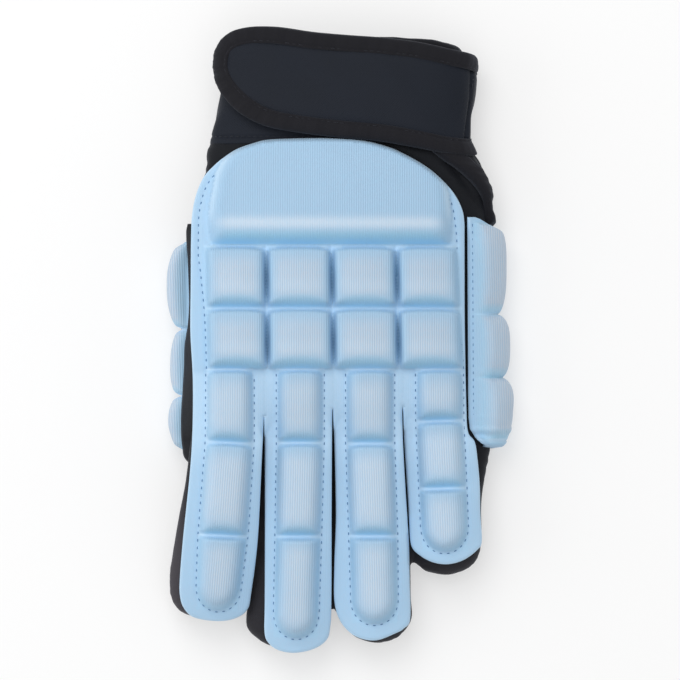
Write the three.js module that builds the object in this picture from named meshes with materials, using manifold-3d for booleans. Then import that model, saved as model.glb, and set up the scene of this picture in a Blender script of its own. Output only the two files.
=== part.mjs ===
import * as THREE from 'three';
import Module from 'manifold-3d';

// Indoor hockey glove for the left hand, lying on its palm with the fingers pointing along -Y.
// Millimetres. X runs across the hand from the thumb side to the little finger side, Z is up.

const wasm = await Module();
wasm.setup();

// Driving sizes of the fabric body
const gloveLength = 240; // middle finger tip to the top of the cuff
const handWidth = 110; // across the knuckles
const handDepth = 29; // back to palm at the knuckles
const fingerWidth = 25;
const fingerDepth = 18;
const thumbWidth = 21;
const thumbDepth = 14;
const fabric = 1.8; // stretch fabric wall
const cuffWall = 3; // neoprene of the cuff
const seamAt = 72; // the cuff is sewn to the body here, measured from the glove's middle
const fingerSeam = -0.168; // the finger tubes are sewn to the hand here, as a share of gloveLength
const backPower = 3.2; // squareness of the section over the back of the hand
const palmPower = 2.3; // squareness of the section under the palm
const fingerPower = 2.2; // squareness of a finger's and the thumb's section
const depthTaper = 0.8; // share of a finger's taper that its depth takes

// Driving sizes of the foam pieces
const foamSheet = 3; // flat stitched margin of the shield
const blockRise = 7.5; // hand block above the margin
const fingerRise = 6.5; // finger block above the margin
const margin = 5.5; // width of the stitched margin
const sideSheet = 3;
const sideRise = 6.6;
const thumbSheet = 2.3;
const thumbRise = 5.3;
const shoulder = 0.84; // share of the rise at a block's shoulder
const crownHigh = 1.02; // foam's underside over the middle of the hand, as a share of the hand's rise
const crownDrop = 0.27; // share by which it is lower over the side of the hand
const knuckleRun = 31; // length in which the foam passes from the hand to a finger
const tipStretch = 1.6; // slope of a fingertip block against the slope of the others
const tipShoulder = 0.7; // share of the rise at a fingertip block's shoulder
const tipBlunt = 0.22; // narrowest part of a finger strip's tip, as a share of its half width
const tipRoom = 1.12; // a block at the tip, as a share of the strip there

// Driving sizes of the strap and the tapes
const strapThick = 2.4;
const strapReach = 106; // rounded end to the sewn end, measured along the strap
const strapEnd = 22; // length of the rounded end
const strapBlunt = 0.12; // narrowest part of the rounded end, as a share of its half width
const tape = 0.7; // thickness of one layer of binding tape
const tapeWidth = 4.6;
const gussetThick = 2.6;
const hookLength = 46;
const hookWidth = 20;
const hookThick = 1.6;

const gap = 0.3; // left between pieces that lie on each other

const handPoints = 26;
const fingerPoints = 14;

const fabricBlack = new THREE.MeshStandardMaterial({ color: 0x1b1c20, roughness: 0.85, metalness: 0 });
const neopreneBlack = new THREE.MeshStandardMaterial({ color: 0x1e222a, roughness: 0.7, metalness: 0 });
const tapeBlack = new THREE.MeshStandardMaterial({ color: 0x2c292d, roughness: 0.9, metalness: 0 });
const foamBlue = new THREE.MeshStandardMaterial({ color: 0xa9cdec, roughness: 0.75, metalness: 0 });
const hookBlack = new THREE.MeshStandardMaterial({ color: 0x141416, roughness: 0.95, metalness: 0 });

// Hand and cuff from the finger roots to the cuff's edge. y is a share of gloveLength, left and right
// of handWidth, middle and depth of handDepth. The thumb side stands higher by the tilt in degrees.
const armSections = [
  { y: -0.160, left: -0.445, right: 0.480, middle: 0.570, depth: 0.36, tilt: 9.0 },
  { y: -0.148, left: -0.460, right: 0.495, middle: 0.568, depth: 0.68, tilt: 9.0 },
  { y: -0.125, left: -0.470, right: 0.503, middle: 0.565, depth: 0.88, tilt: 9.0 },
  { y: -0.075, left: -0.482, right: 0.512, middle: 0.565, depth: 0.96, tilt: 9.5 },
  { y: 0.008, left: -0.486, right: 0.514, middle: 0.570, depth: 1.00, tilt: 9.5 },
  { y: 0.100, left: -0.491, right: 0.514, middle: 0.560, depth: 1.00, tilt: 9.0 },
  { y: 0.183, left: -0.491, right: 0.511, middle: 0.545, depth: 0.98, tilt: 7.0 },
  { y: 0.250, left: -0.473, right: 0.490, middle: 0.510, depth: 0.94, tilt: 4.5 },
  { y: 0.280, left: -0.452, right: 0.462, middle: 0.490, depth: 0.93, tilt: 3.5 },
  { y: 0.305, left: -0.438, right: 0.424, middle: 0.480, depth: 0.91, tilt: 3.0 },
  { y: 0.350, left: -0.433, right: 0.416, middle: 0.475, depth: 0.88, tilt: 2.0 },
  { y: 0.400, left: -0.412, right: 0.426, middle: 0.475, depth: 0.85, tilt: 1.5 },
  { y: 0.450, left: -0.405, right: 0.432, middle: 0.475, depth: 0.83, tilt: 1.0 },
  { y: 0.485, left: -0.400, right: 0.426, middle: 0.475, depth: 0.82, tilt: 1.0 },
];

// Finger tubes. root, middle and tip are sideways places as shares of handWidth, high holds the heights
// of the centre line there as shares of fingerDepth, and start and end are shares of gloveLength.
const fingerTubes = [
  { root: -0.382, middle: -0.432, tip: -0.495, high: [1.42, 1.14, 0.47], start: -0.075, end: -0.444 },
  { root: -0.150, middle: -0.168, tip: -0.227, high: [1.07, 0.86, 0.47], start: -0.075, end: -0.492 },
  { root: 0.100, middle: 0.118, tip: 0.132, high: [0.83, 0.70, 0.47], start: -0.075, end: -0.485 },
  { root: 0.377, middle: 0.384, tip: 0.367, high: [0.60, 0.55, 0.49], start: -0.075, end: -0.375 },
];

// How a finger tube narrows: along is the share of its length, full the share of its size
const fingerTaper = [
  { along: 0, full: 1 },
  { along: 0.25, full: 1 },
  { along: 0.5, full: 1 },
  { along: 0.72, full: 0.98 },
  { along: 0.86, full: 0.93 },
  { along: 0.94, full: 0.76 },
  { along: 0.985, full: 0.48 },
  { along: 1, full: 0.16 },
];

// Thumb tube, folded under the palm. y is a share of gloveLength, side of handWidth, high of
// thumbDepth, wide of thumbWidth and deep of thumbDepth.
const thumbSections = [
  { y: 0.217, side: -0.391, high: 1.36, wide: 0.90, deep: 0.90 },
  { y: 0.167, side: -0.423, high: 0.86, wide: 1.00, deep: 1.10 },
  { y: 0.125, side: -0.434, high: 0.58, wide: 1.00, deep: 1.05 },
  { y: 0.040, side: -0.437, high: 0.50, wide: 1.00, deep: 1.00 },
  { y: -0.080, side: -0.445, high: 0.50, wide: 1.00, deep: 1.00 },
  { y: -0.150, side: -0.448, high: 0.49, wide: 0.94, deep: 0.92 },
  { y: -0.183, side: -0.450, high: 0.47, wide: 0.72, deep: 0.72 },
  { y: -0.202, side: -0.451, high: 0.46, wide: 0.24, deep: 0.30 },
];

// Outline of the shield over the hand, y as a share of gloveLength and its sides of handWidth. Panel
// rows have no grooves between blocks. lift is the share of the foam's rise.
const shieldRows = [
  { y: 0.3225, left: -0.190, right: -0.020, lift: 0.00, panel: true },
  { y: 0.318, left: -0.290, right: 0.100, lift: 0.05, panel: true },
  { y: 0.305, left: -0.362, right: 0.205, lift: 0.55, panel: true },
  { y: 0.280, left: -0.435, right: 0.300, lift: 0.85, panel: true },
  { y: 0.240, left: -0.490, right: 0.390, lift: 0.95, panel: true },
  { y: 0.196, left: -0.513, right: 0.434, lift: 0.98, panel: true },
  { y: 0.172, left: -0.516, right: 0.438, lift: 0.86, panel: true },
  { y: 0.151, left: -0.517, right: 0.438, lift: 0.00, panel: false },
  { y: 0.138, left: -0.517, right: 0.438, lift: 0.84, panel: false },
  { y: 0.100, left: -0.517, right: 0.438, lift: 1.00, panel: false },
  { y: 0.063, left: -0.517, right: 0.438, lift: 0.84, panel: false },
  { y: 0.050, left: -0.517, right: 0.438, lift: 0.00, panel: false },
  { y: 0.037, left: -0.517, right: 0.438, lift: 0.84, panel: false },
  { y: 0.002, left: -0.513, right: 0.439, lift: 1.00, panel: false },
  { y: -0.032, left: -0.511, right: 0.440, lift: 0.84, panel: false },
  { y: -0.045, left: -0.510, right: 0.440, lift: 0.00, panel: false },
  { y: -0.075, left: -0.510, right: 0.441, lift: 0.00, panel: false },
  { y: -0.115, left: -0.510, right: 0.442, lift: 0.00, panel: false },
];

// One block across: at is the share of the block's width, lift the share of its rise
const blockProfile = [
  { at: 0, lift: 0 },
  { at: 0.15, lift: shoulder },
  { at: 0.5, lift: 1 },
  { at: 0.85, lift: shoulder },
];
const blocksAcross = 4;

// Finger strips of the shield. root, middle and tip are sideways places and slim and wide the half widths
// at the root and further out, as shares of handWidth. The first and second crease and the end are shares
// of gloveLength.
const strips = [
  { root: -0.390, middle: -0.401, tip: -0.436, slim: 0.124, wide: 0.125,
    first: -0.165, second: -0.315, end: -0.450 },
  { root: -0.1445, middle: -0.1445, tip: -0.153, slim: 0.117, wide: 0.118,
    first: -0.165, second: -0.315, end: -0.5 },
  { root: 0.099, middle: 0.112, tip: 0.123, slim: 0.121, wide: 0.126,
    first: -0.165, second: -0.314, end: -0.480 },
  { root: 0.333, middle: 0.361, tip: 0.379, slim: 0.108, wide: 0.1235,
    first: -0.130, second: -0.238, end: -0.359 },
];
const stripStart = -0.045; // share of gloveLength, the last crease across the hand
const stripProfile = [
  { at: -1, lift: 0 },
  { at: -0.64, lift: 0 },
  { at: -0.48, lift: shoulder },
  { at: 0, lift: 1 },
  { at: 0.48, lift: shoulder },
  { at: 0.64, lift: 0 },
  { at: 1, lift: 0 },
];

// Pad on the side of the hand. y is a share of gloveLength, from and to are degrees round the section,
// counted from the little finger side upwards, and lift is the share of the foam's rise.
const sideRows = [
  { y: 0.196, from: 38, to: 14, lift: 0 },
  { y: 0.185, from: 39, to: -22, lift: 0.35 },
  { y: 0.160, from: 39, to: -34, lift: 0.88 },
  { y: 0.105, from: 39, to: -36, lift: 1 },
  { y: 0.056, from: 39, to: -36, lift: 0.86 },
  { y: 0.040, from: 39, to: -36, lift: 0.30 },
  { y: 0.024, from: 39, to: -36, lift: 0.86 },
  { y: -0.012, from: 39, to: -36, lift: 1 },
  { y: -0.046, from: 39, to: -36, lift: 0.86 },
  { y: -0.061, from: 38, to: -36, lift: 0.32 },
  { y: -0.076, from: 37, to: -35, lift: 0.86 },
  { y: -0.106, from: 36, to: -34, lift: 1 },
  { y: -0.140, from: 30, to: -30, lift: 0.80 },
  { y: -0.158, from: 25, to: -24, lift: 0.10 },
  { y: -0.174, from: 14, to: -14, lift: 0 },
];

// Pad on the thumb, with degrees round the thumb's own section
const thumbRows = [
  { y: 0.160, from: 136, to: 170, lift: 0 },
  { y: 0.150, from: 134, to: 200, lift: 0.35 },
  { y: 0.128, from: 134, to: 205, lift: 0.88 },
  { y: 0.085, from: 134, to: 205, lift: 1 },
  { y: 0.034, from: 134, to: 205, lift: 0.84 },
  { y: 0.018, from: 134, to: 205, lift: 0.12 },
  { y: 0.002, from: 134, to: 205, lift: 0.84 },
  { y: -0.038, from: 134, to: 205, lift: 1 },
  { y: -0.076, from: 134, to: 205, lift: 0.84 },
  { y: -0.090, from: 134, to: 205, lift: 0.12 },
  { y: -0.105, from: 134, to: 205, lift: 0.84 },
  { y: -0.135, from: 135, to: 203, lift: 0.95 },
  { y: -0.165, from: 138, to: 195, lift: 0.60 },
  { y: -0.181, from: 150, to: 180, lift: 0 },
];
const padProfile = [
  { at: 0, lift: 0 },
  { at: 0.10, lift: 0 },
  { at: 0.26, lift: 0.82 },
  { at: 0.5, lift: 1 },
  { at: 0.74, lift: 0.82 },
  { at: 0.90, lift: 0 },
  { at: 1, lift: 0 },
];

// Edges of the strap. along is the share of strapReach from the rounded end, low and high are shares of
// gloveLength.
const strapEdges = [
  { along: 0, low: 0.375, high: 0.507 },
  { along: 0.10, low: 0.358, high: 0.500 },
  { along: 0.22, low: 0.342, high: 0.498 },
  { along: 0.34, low: 0.332, high: 0.490 },
  { along: 0.46, low: 0.325, high: 0.485 },
  { along: 0.58, low: 0.320, high: 0.481 },
  { along: 0.70, low: 0.310, high: 0.474 },
  { along: 0.82, low: 0.299, high: 0.462 },
  { along: 1, low: 0.292, high: 0.445 },
];
const strapTip = 157; // degrees round the cuff's section where the rounded end lies
const strapSteps = 14;
const endSteps = 6;
const hookSteps = 6;
const turnStep = 3; // degrees between measured places round the cuff

// Side gusset between the strap and the side pad: y is a share of gloveLength, and edge is the degrees
// round the section where its bound edge runs
const gussetRows = [
  { y: 0.284, edge: 46, to: -10 },
  { y: 0.266, edge: 40, to: -28 },
  { y: 0.245, edge: 32, to: -34 },
  { y: 0.222, edge: 22, to: -34 },
  { y: 0.201, edge: 13, to: -32 },
];
const gussetTape = 17; // degrees that the tape takes of the section

const degrees = Math.PI / 180;

function mix(a, b, share) {
  return a + (b - a) * share;
}

function smooth(value, low, high) {
  const share = Math.min(Math.max((value - low) / (high - low), 0), 1);
  return share * share * (3 - 2 * share);
}

// Straight-line reading of every column of a table at one value of its key column
function readTable(table, key, value) {
  const rising = table[table.length - 1][key] > table[0][key];
  const rows = rising ? table : [...table].reverse();
  let upper = rows.findIndex((row) => row[key] >= value);
  if (upper < 0) {
    upper = rows.length - 1;
  }
  upper = Math.max(upper, 1);
  const before = rows[upper - 1];
  const after = rows[upper];
  const share = Math.min(Math.max((value - before[key]) / (after[key] - before[key]), 0), 1);
  const result = {};
  for (const name of Object.keys(before)) {
    const number = typeof before[name] === 'number';
    result[name] = number ? mix(before[name], after[name], share) : before[name];
  }
  return result;
}

// Value on the smooth curve through a root, a middle and a tip value
function bend(root, middle, tip, share) {
  const curve = 2 * (root + tip - 2 * middle);
  return root + (tip - root - curve) * share + curve * share * share;
}

// Point of a unit superellipse at an angle
function squareRound(angle, power) {
  const across = Math.abs(Math.cos(angle));
  const up = Math.abs(Math.sin(angle));
  const reach = Math.pow(Math.pow(across, power) + Math.pow(up, power), -1 / power);
  return { x: Math.cos(angle) * reach, z: Math.sin(angle) * reach };
}

function armShape(y) {
  const row = readTable(armSections, 'y', y / gloveLength);
  const left = row.left * handWidth;
  const right = row.right * handWidth;
  return {
    centre: (left + right) / 2,
    half: (right - left) / 2,
    middle: row.middle * handDepth,
    rise: (row.depth * handDepth) / 2,
    slope: Math.tan(row.tilt * degrees),
  };
}

// Point on the hand or cuff, turned by angle round its section and moved out from its face. Nothing
// dips under the ground.
function armPoint(y, angle, out, ground) {
  const shape = armShape(y);
  const unit = squareRound(angle, Math.sin(angle) >= 0 ? backPower : palmPower);
  const x = shape.centre + unit.x * (shape.half + out);
  const z = shape.middle + unit.z * (shape.rise + out) - shape.slope * (x - shape.centre);
  return new THREE.Vector3(x, y, Math.max(z, ground));
}

function thumbPoint(y, angle, out, ground) {
  const row = readTable(thumbSections, 'y', y / gloveLength);
  const unit = squareRound(angle, fingerPower);
  const x = row.side * handWidth + unit.x * ((row.wide * thumbWidth) / 2 + out);
  const z = row.high * thumbDepth + unit.z * ((row.deep * thumbDepth) / 2 + out);
  return new THREE.Vector3(x, y, Math.max(z, ground));
}

function fingerShape(tube, share) {
  const taper = readTable(fingerTaper, 'along', share).full;
  return {
    x: bend(tube.root, tube.middle, tube.tip, share) * handWidth,
    y: mix(tube.start, tube.end, share) * gloveLength,
    z: bend(tube.high[0], tube.high[1], tube.high[2], share) * fingerDepth,
    wide: (taper * fingerWidth) / 2,
    deep: (mix(1, taper, depthTaper) * fingerDepth) / 2,
  };
}

// Closed solid through rings of the same number of points, each end filled from its centre
function loft(rings) {
  const count = rings[0].length;
  const points = rings.flat();
  const triangles = [];
  for (let ring = 0; ring + 1 < rings.length; ring += 1) {
    for (let step = 0; step < count; step += 1) {
      const a = ring * count + step;
      const b = ring * count + ((step + 1) % count);
      triangles.push([a, b, b + count], [a, b + count, a + count]);
    }
  }
  for (const [ring, turned] of [[0, true], [rings.length - 1, false]]) {
    const centre = new THREE.Vector3();
    rings[ring].forEach((point) => centre.addScaledVector(point, 1 / count));
    const hub = points.push(centre) - 1;
    for (let step = 0; step < count; step += 1) {
      const a = ring * count + step;
      const b = ring * count + ((step + 1) % count);
      triangles.push(turned ? [b, a, hub] : [a, b, hub]);
    }
  }
  let volume = 0;
  const cross = new THREE.Vector3();
  for (const [a, b, c] of triangles) {
    volume += cross.crossVectors(points[b], points[c]).dot(points[a]);
  }
  const faces = volume > 0 ? triangles : triangles.map(([a, b, c]) => [a, c, b]);
  const vertProperties = new Float32Array(points.flatMap((point) => point.toArray()));
  const triVerts = new Uint32Array(faces.flat());
  return new wasm.Manifold(new wasm.Mesh({ numProp: 3, vertProperties, triVerts }));
}

function named(name, solid, material) {
  const mesh = solid.getMesh();
  const geometry = new THREE.BufferGeometry();
  geometry.setAttribute('position', new THREE.Float32BufferAttribute(mesh.vertProperties, 3));
  geometry.setIndex(new THREE.Uint32BufferAttribute(mesh.triVerts, 1));
  geometry.computeVertexNormals();
  const piece = new THREE.Mesh(geometry, material);
  piece.name = name;
  return piece;
}

// Stations of the arm table between two places, with both ends
function stations(from, to) {
  const inside = armSections.map((row) => row.y * gloveLength).filter((y) => y > from + 1 && y < to - 1);
  return [from, ...inside, to];
}

// The hand or cuff as a filled form, moved out from its face by out
function armForm(from, to, out, ground) {
  const rings = stations(from, to).map((y) => {
    const ring = [];
    for (let step = 0; step < handPoints; step += 1) {
      ring.push(armPoint(y, (step * 2 * Math.PI) / handPoints, out, ground));
    }
    return ring;
  });
  return loft(rings);
}

function fingerForm(tube, out, ground) {
  const rings = fingerTaper.map(({ along }) => {
    const shape = fingerShape(tube, along);
    const ring = [];
    for (let step = 0; step < fingerPoints; step += 1) {
      const unit = squareRound((step * 2 * Math.PI) / fingerPoints, fingerPower);
      const x = shape.x + unit.x * Math.max(shape.wide + out, fabric / 2);
      const z = shape.z + unit.z * Math.max(shape.deep + out, fabric / 2);
      ring.push(new THREE.Vector3(x, shape.y - out * along, Math.max(z, ground)));
    }
    return ring;
  });
  return loft(rings);
}

function thumbForm(out, ground) {
  const last = thumbSections.length - 1;
  const rings = thumbSections.map((row, index) => {
    const ring = [];
    for (let step = 0; step < fingerPoints; step += 1) {
      const point = thumbPoint(row.y * gloveLength, (step * 2 * Math.PI) / fingerPoints, out, ground);
      point.y -= (out * index) / last;
      ring.push(point);
    }
    return ring;
  });
  return loft(rings);
}

// Whole fabric form, moved out from its face by out, with the wrist end at y = wrist
function bodyForm(out, ground, wrist) {
  let form = armForm(armSections[0].y * gloveLength - out, wrist, out, ground);
  for (const tube of fingerTubes) {
    form = form.add(fingerForm(tube, out, ground));
  }
  return form.add(thumbForm(out, ground));
}

// Straight block between two corners
function block(low, high) {
  const corners = (y) => [
    new THREE.Vector3(low.x, y, low.z),
    new THREE.Vector3(high.x, y, low.z),
    new THREE.Vector3(high.x, y, high.z),
    new THREE.Vector3(low.x, y, high.z),
  ];
  return loft([corners(low.y), corners(high.y)]);
}

// Everything under the side seams of the hand, lowered by down
function underSeams(down) {
  const rings = stations(armSections[0].y * gloveLength - fabric, seamAt + fabric).map((y) => {
    const shape = armShape(y);
    const high = (x) => shape.middle - shape.slope * (x - shape.centre) - down;
    return [
      new THREE.Vector3(-handWidth, y, -handDepth),
      new THREE.Vector3(handWidth, y, -handDepth),
      new THREE.Vector3(handWidth, y, high(handWidth)),
      new THREE.Vector3(-handWidth, y, high(-handWidth)),
    ];
  });
  const tips = new THREE.Vector3(handWidth, armSections[0].y * gloveLength, handDepth);
  return loft(rings).add(block(new THREE.Vector3(-handWidth, -gloveLength, -handDepth), tips));
}

// The fabric body in its sewn panels: the back and the palm with the thumb, and a tube for each finger
function makeBody() {
  const hollow = bodyForm(-fabric, fabric, seamAt + fabric);
  const shell = bodyForm(0, 0, seamAt).subtract(hollow);
  const rootSeam = fingerSeam * gloveLength;
  const thumbEnd = thumbSections[thumbSections.length - 1].y * gloveLength - fabric;
  const overThumb = thumbDepth - 2 * gap;
  const low = new THREE.Vector3(-handWidth, -gloveLength, -handDepth);
  const pastThumb = block(low, new THREE.Vector3(handWidth, thumbEnd, 2 * handDepth));
  const aboveThumb = block(
    new THREE.Vector3(-handWidth, -gloveLength, overThumb),
    new THREE.Vector3(handWidth, rootSeam, 2 * handDepth),
  );
  const besideThumb = block(
    new THREE.Vector3(-handWidth / 3, -gloveLength, -handDepth),
    new THREE.Vector3(handWidth, rootSeam, 2 * handDepth),
  );
  const fingerPart = pastThumb.add(aboveThumb).add(besideThumb);
  const seamed = block(
    new THREE.Vector3(-handWidth, rootSeam - gap, -handDepth),
    new THREE.Vector3(handWidth, rootSeam + gap, 2 * handDepth),
  );
  const thumbPart = thumbForm(gap, -gap);
  const tubes = fingerTubes.map((tube) => {
    const lane = fingerForm(tube, gap, -gap);
    return shell.intersect(fingerPart).subtract(seamed).intersect(lane).subtract(thumbPart);
  });
  const hand = shell.subtract(fingerPart);
  const back = hand.subtract(underSeams(-gap / 2));
  const palm = hand.intersect(underSeams(gap / 2));
  return { back, palm, tubes };
}

function makeCuff() {
  const top = armSections[armSections.length - 1].y * gloveLength - tape - gap;
  const outside = armForm(seamAt + gap, top, 0, 0);
  return outside.subtract(armForm(seamAt - cuffWall, top + cuffWall, -cuffWall, cuffWall));
}

// Tape folded over the cuff's edge
function makeCuffBinding() {
  const top = armSections[armSections.length - 1].y * gloveLength;
  const skin = tape + gap;
  const outside = armForm(top - tapeWidth, top, skin, 0);
  const inside = armForm(top - 2 * tapeWidth, top + tapeWidth, -cuffWall - skin, 0);
  const wall = armForm(top - 2 * tapeWidth, top - tape, gap, -gap);
  const throat = armForm(top - 3 * tapeWidth, top + tapeWidth, -cuffWall - gap, -gap);
  return outside.subtract(inside).subtract(wall.subtract(throat));
}

// Height of the foam's underside over the back of the hand: flatter than the hand, so that the stitched
// margin stands out over the sides
function shieldUnder(x, y) {
  const shape = armShape(y);
  const aside = (x - shape.centre) / shape.half;
  const crown = shape.rise * (crownHigh - crownDrop * aside * aside);
  return shape.middle + crown - shape.slope * (x - shape.centre);
}

// One row of foam across: the top points, then the underside down to a keel inside the hand
function foamRing(y, tops, under) {
  const first = tops[0];
  const last = tops[tops.length - 1];
  const middle = (first.x + last.x) / 2;
  const ring = tops.map((top) => new THREE.Vector3(top.x, y, under(top.x, y) + gap + foamSheet + top.rise));
  ring.push(new THREE.Vector3(last.x, y, under(last.x, y) + gap));
  ring.push(new THREE.Vector3(middle, y, under(middle, y) - foamSheet));
  ring.push(new THREE.Vector3(first.x, y, under(first.x, y) + gap));
  return ring;
}

function handFoam() {
  const rings = shieldRows.map((row) => {
    const left = row.left * handWidth;
    const right = row.right * handWidth;
    const edge = Math.min(margin, (right - left) / 4);
    const pitch = (right - left - 2 * edge) / blocksAcross;
    const tops = [{ x: left, rise: 0 }];
    for (let block = 0; block < blocksAcross; block += 1) {
      for (const { at, lift } of blockProfile) {
        const first = block === 0 && at === 0;
        const across = row.panel && !first ? 1 : lift;
        tops.push({ x: left + edge + (block + at) * pitch, rise: blockRise * row.lift * across });
      }
    }
    tops.push({ x: right - edge, rise: 0 });
    tops.push({ x: right, rise: 0 });
    return foamRing(row.y * gloveLength, tops, shieldUnder);
  });
  return loft(rings);
}

// Height of the foam's underside over a finger, running into the one over the hand at the knuckles
function stripUnder(tube, x, y) {
  const share = Math.min(Math.max((y / gloveLength - tube.start) / (tube.end - tube.start), 0), 1);
  const shape = fingerShape(tube, share);
  const crown = shape.z + fingerDepth / 2 - (fingerDepth * Math.pow((x - shape.x) / fingerWidth, 2)) / 4;
  const knuckle = stripStart * gloveLength;
  return mix(shieldUnder(x, y), crown, smooth(-y, -knuckle, knuckleRun - knuckle));
}

// Rows of one block along a finger, from one crease to the next
function blockRows(from, to, round) {
  const step = Math.min(foamSheet, Math.abs(to - from) / 6);
  return [
    { y: from, lift: 0 },
    { y: from - step, lift: shoulder },
    { y: (from + to) / 2, lift: 1 },
    { y: to + step * (round ? tipStretch : 1), lift: round ? tipShoulder : shoulder },
  ];
}

function fingerFoam(strip, tube) {
  const start = stripStart * gloveLength;
  const end = strip.end * gloveLength;
  const first = strip.first * gloveLength;
  const second = strip.second * gloveLength;
  const foot = end + margin;
  const rows = [
    ...blockRows(start, first, false),
    ...blockRows(first, second, false),
    ...blockRows(second, foot, true),
    { y: foot, lift: 0 },
    { y: mix(foot, end, 0.6), lift: 0 },
    { y: end, lift: 0 },
  ];
  const rings = rows.map((row) => {
    const share = (row.y - start) / (end - start);
    const centre = bend(strip.root, strip.middle, strip.tip, share) * handWidth;
    const full = mix(strip.slim, strip.wide, Math.min(share * 2, 1)) * handWidth;
    const toTip = Math.min((row.y - end) / full, 1);
    const half = full * Math.max(Math.sqrt(1 - Math.pow(1 - toTip, 2)), tipBlunt);
    const tops = stripProfile.map(({ at, lift }) => {
      const place = Math.abs(at) === 1 ? at * half : at * Math.min(full, half * tipRoom);
      return { x: centre + place, rise: fingerRise * row.lift * lift };
    });
    return foamRing(row.y, tops, (x, y) => stripUnder(tube, x, y));
  });
  return loft(rings);
}

function makeShield(fittedBody) {
  let shield = handFoam();
  strips.forEach((strip, index) => {
    shield = shield.add(fingerFoam(strip, fingerTubes[index]));
  });
  return shield.subtract(fittedBody);
}

// Foam pad wrapped on a round side, cut back to lie on the fabric
function makePad(rows, sheet, rise, point, fittedBody) {
  const rings = rows.map((row) => {
    const y = row.y * gloveLength;
    const outer = padProfile.map(({ at, lift }) => {
      const out = gap + sheet + rise * row.lift * lift;
      return point(y, mix(row.from, row.to, at) * degrees, out, gap);
    });
    const inner = [1, 0.5, 0].map((at) => point(y, mix(row.from, row.to, at) * degrees, -sheet / 2, gap));
    inner[0] = point(y, row.to * degrees, gap, gap);
    inner[2] = point(y, row.from * degrees, gap, gap);
    return [...outer, ...inner];
  });
  return loft(rings).subtract(fittedBody);
}

// Angle round the cuff's section for a length measured along the strap from its rounded end
function strapAngles() {
  const lengths = [{ along: 0, angle: strapTip }];
  const y = (strapEdges[3].low + strapEdges[3].high) * 0.5 * gloveLength;
  let last = armPoint(y, strapTip * degrees, gap, -handDepth);
  let along = 0;
  for (let angle = strapTip - turnStep; along < strapReach + 2 * strapEnd; angle -= turnStep) {
    const point = armPoint(y, angle * degrees, gap, -handDepth);
    along += point.distanceTo(last);
    lengths.push({ along, angle });
    last = point;
  }
  return lengths;
}

// Strap form with its edges drawn in by inset, between two heights over the cuff, and with its sewn end
// lengthened by overrun
function strapForm(inset, low, high, overrun) {
  const angles = strapAngles();
  const places = [inset];
  for (let step = 1; step <= endSteps; step += 1) {
    const along = strapEnd * (1 - Math.cos((Math.PI / 2) * (step / endSteps)));
    if (along > inset + gap) {
      places.push(along);
    }
  }
  const turns = [strapEnd, strapReach].map((along) => readTable(angles, 'along', along).angle);
  for (let step = 1; step <= strapSteps; step += 1) {
    places.push(readTable(angles, 'angle', mix(turns[0], turns[1], step / strapSteps)).along);
  }
  if (overrun > 0) {
    places.push(strapReach + overrun);
  }
  const rings = places.map((along) => {
    const edges = readTable(strapEdges, 'along', along / strapReach);
    const middle = ((edges.low + edges.high) / 2) * gloveLength;
    const round = Math.min((along - inset) / (strapEnd - inset), 1);
    const swell = Math.max(Math.sqrt(1 - Math.pow(1 - round, 2)), strapBlunt);
    const half = (((edges.high - edges.low) / 2) * gloveLength - inset) * swell;
    const angle = readTable(angles, 'along', along).angle * degrees;
    const across = [-1, 0, 1];
    const top = across.map((share) => armPoint(middle + share * half, angle, high, -handDepth));
    const under = across.map((share) => armPoint(middle - share * half, angle, low, -handDepth));
    return [...top, ...under];
  });
  return loft(rings);
}

const strapSeat = gap + tape + gap; // the strap lies on the tape round the cuff's edge
const strapLow = strapSeat + tape + gap; // underside of the neoprene over the cuff
const strapHigh = strapLow + strapThick;

function makeStrap() {
  return strapForm(tape + gap, strapLow, strapHigh, 0);
}

// Tape folded over the edges of the strap
function makeStrapBinding() {
  const outside = strapForm(0, strapSeat, strapHigh + gap + tape, 0);
  const core = strapForm(tape, strapLow - gap, strapHigh + gap, tapeWidth);
  const window = strapForm(tapeWidth, -strapThick, 4 * strapThick, tapeWidth);
  return outside.subtract(core).subtract(window);
}

function makeHookPatch() {
  const angles = strapAngles();
  const rings = [];
  for (let step = 0; step <= hookSteps; step += 1) {
    const along = strapEnd + (hookLength * step) / hookSteps;
    const edges = readTable(strapEdges, 'along', along / strapReach);
    const below = armSections[armSections.length - 1].y * gloveLength - tapeWidth - 2 * gap;
    const middle = Math.min(((edges.low + edges.high) / 2) * gloveLength, below - hookWidth / 2);
    const angle = readTable(angles, 'along', along).angle * degrees;
    const ends = [middle - hookWidth / 2, middle + hookWidth / 2];
    rings.push([
      armPoint(ends[0], angle, gap, 0),
      armPoint(ends[1], angle, gap, 0),
      armPoint(ends[1], angle, gap + hookThick, 0),
      armPoint(ends[0], angle, gap + hookThick, 0),
    ]);
  }
  return loft(rings);
}

// Band on the side of the hand between two angles of each row, cut back to lie on the fabric
function sideBand(range, thick, fittedBody) {
  const rings = gussetRows.map((row) => {
    const y = row.y * gloveLength;
    const [from, to] = range(row);
    const shares = [0, 0.25, 0.5, 0.75, 1];
    const outer = shares.map((share) => armPoint(y, mix(from, to, share) * degrees, gap + thick, gap));
    const inner = shares.map((share) => armPoint(y, mix(to, from, share) * degrees, -gap, gap));
    return [...outer, ...inner];
  });
  return loft(rings).subtract(fittedBody);
}

const fittedBody = bodyForm(gap, -gap, armSections[armSections.length - 1].y * gloveLength);
const seamGap = gap / (handDepth / 2) / degrees; // degrees that leave the gap between tape and gusset

const body = makeBody();
const tubeNames = ['index_tube', 'middle_tube', 'ring_tube', 'little_tube'];

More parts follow.
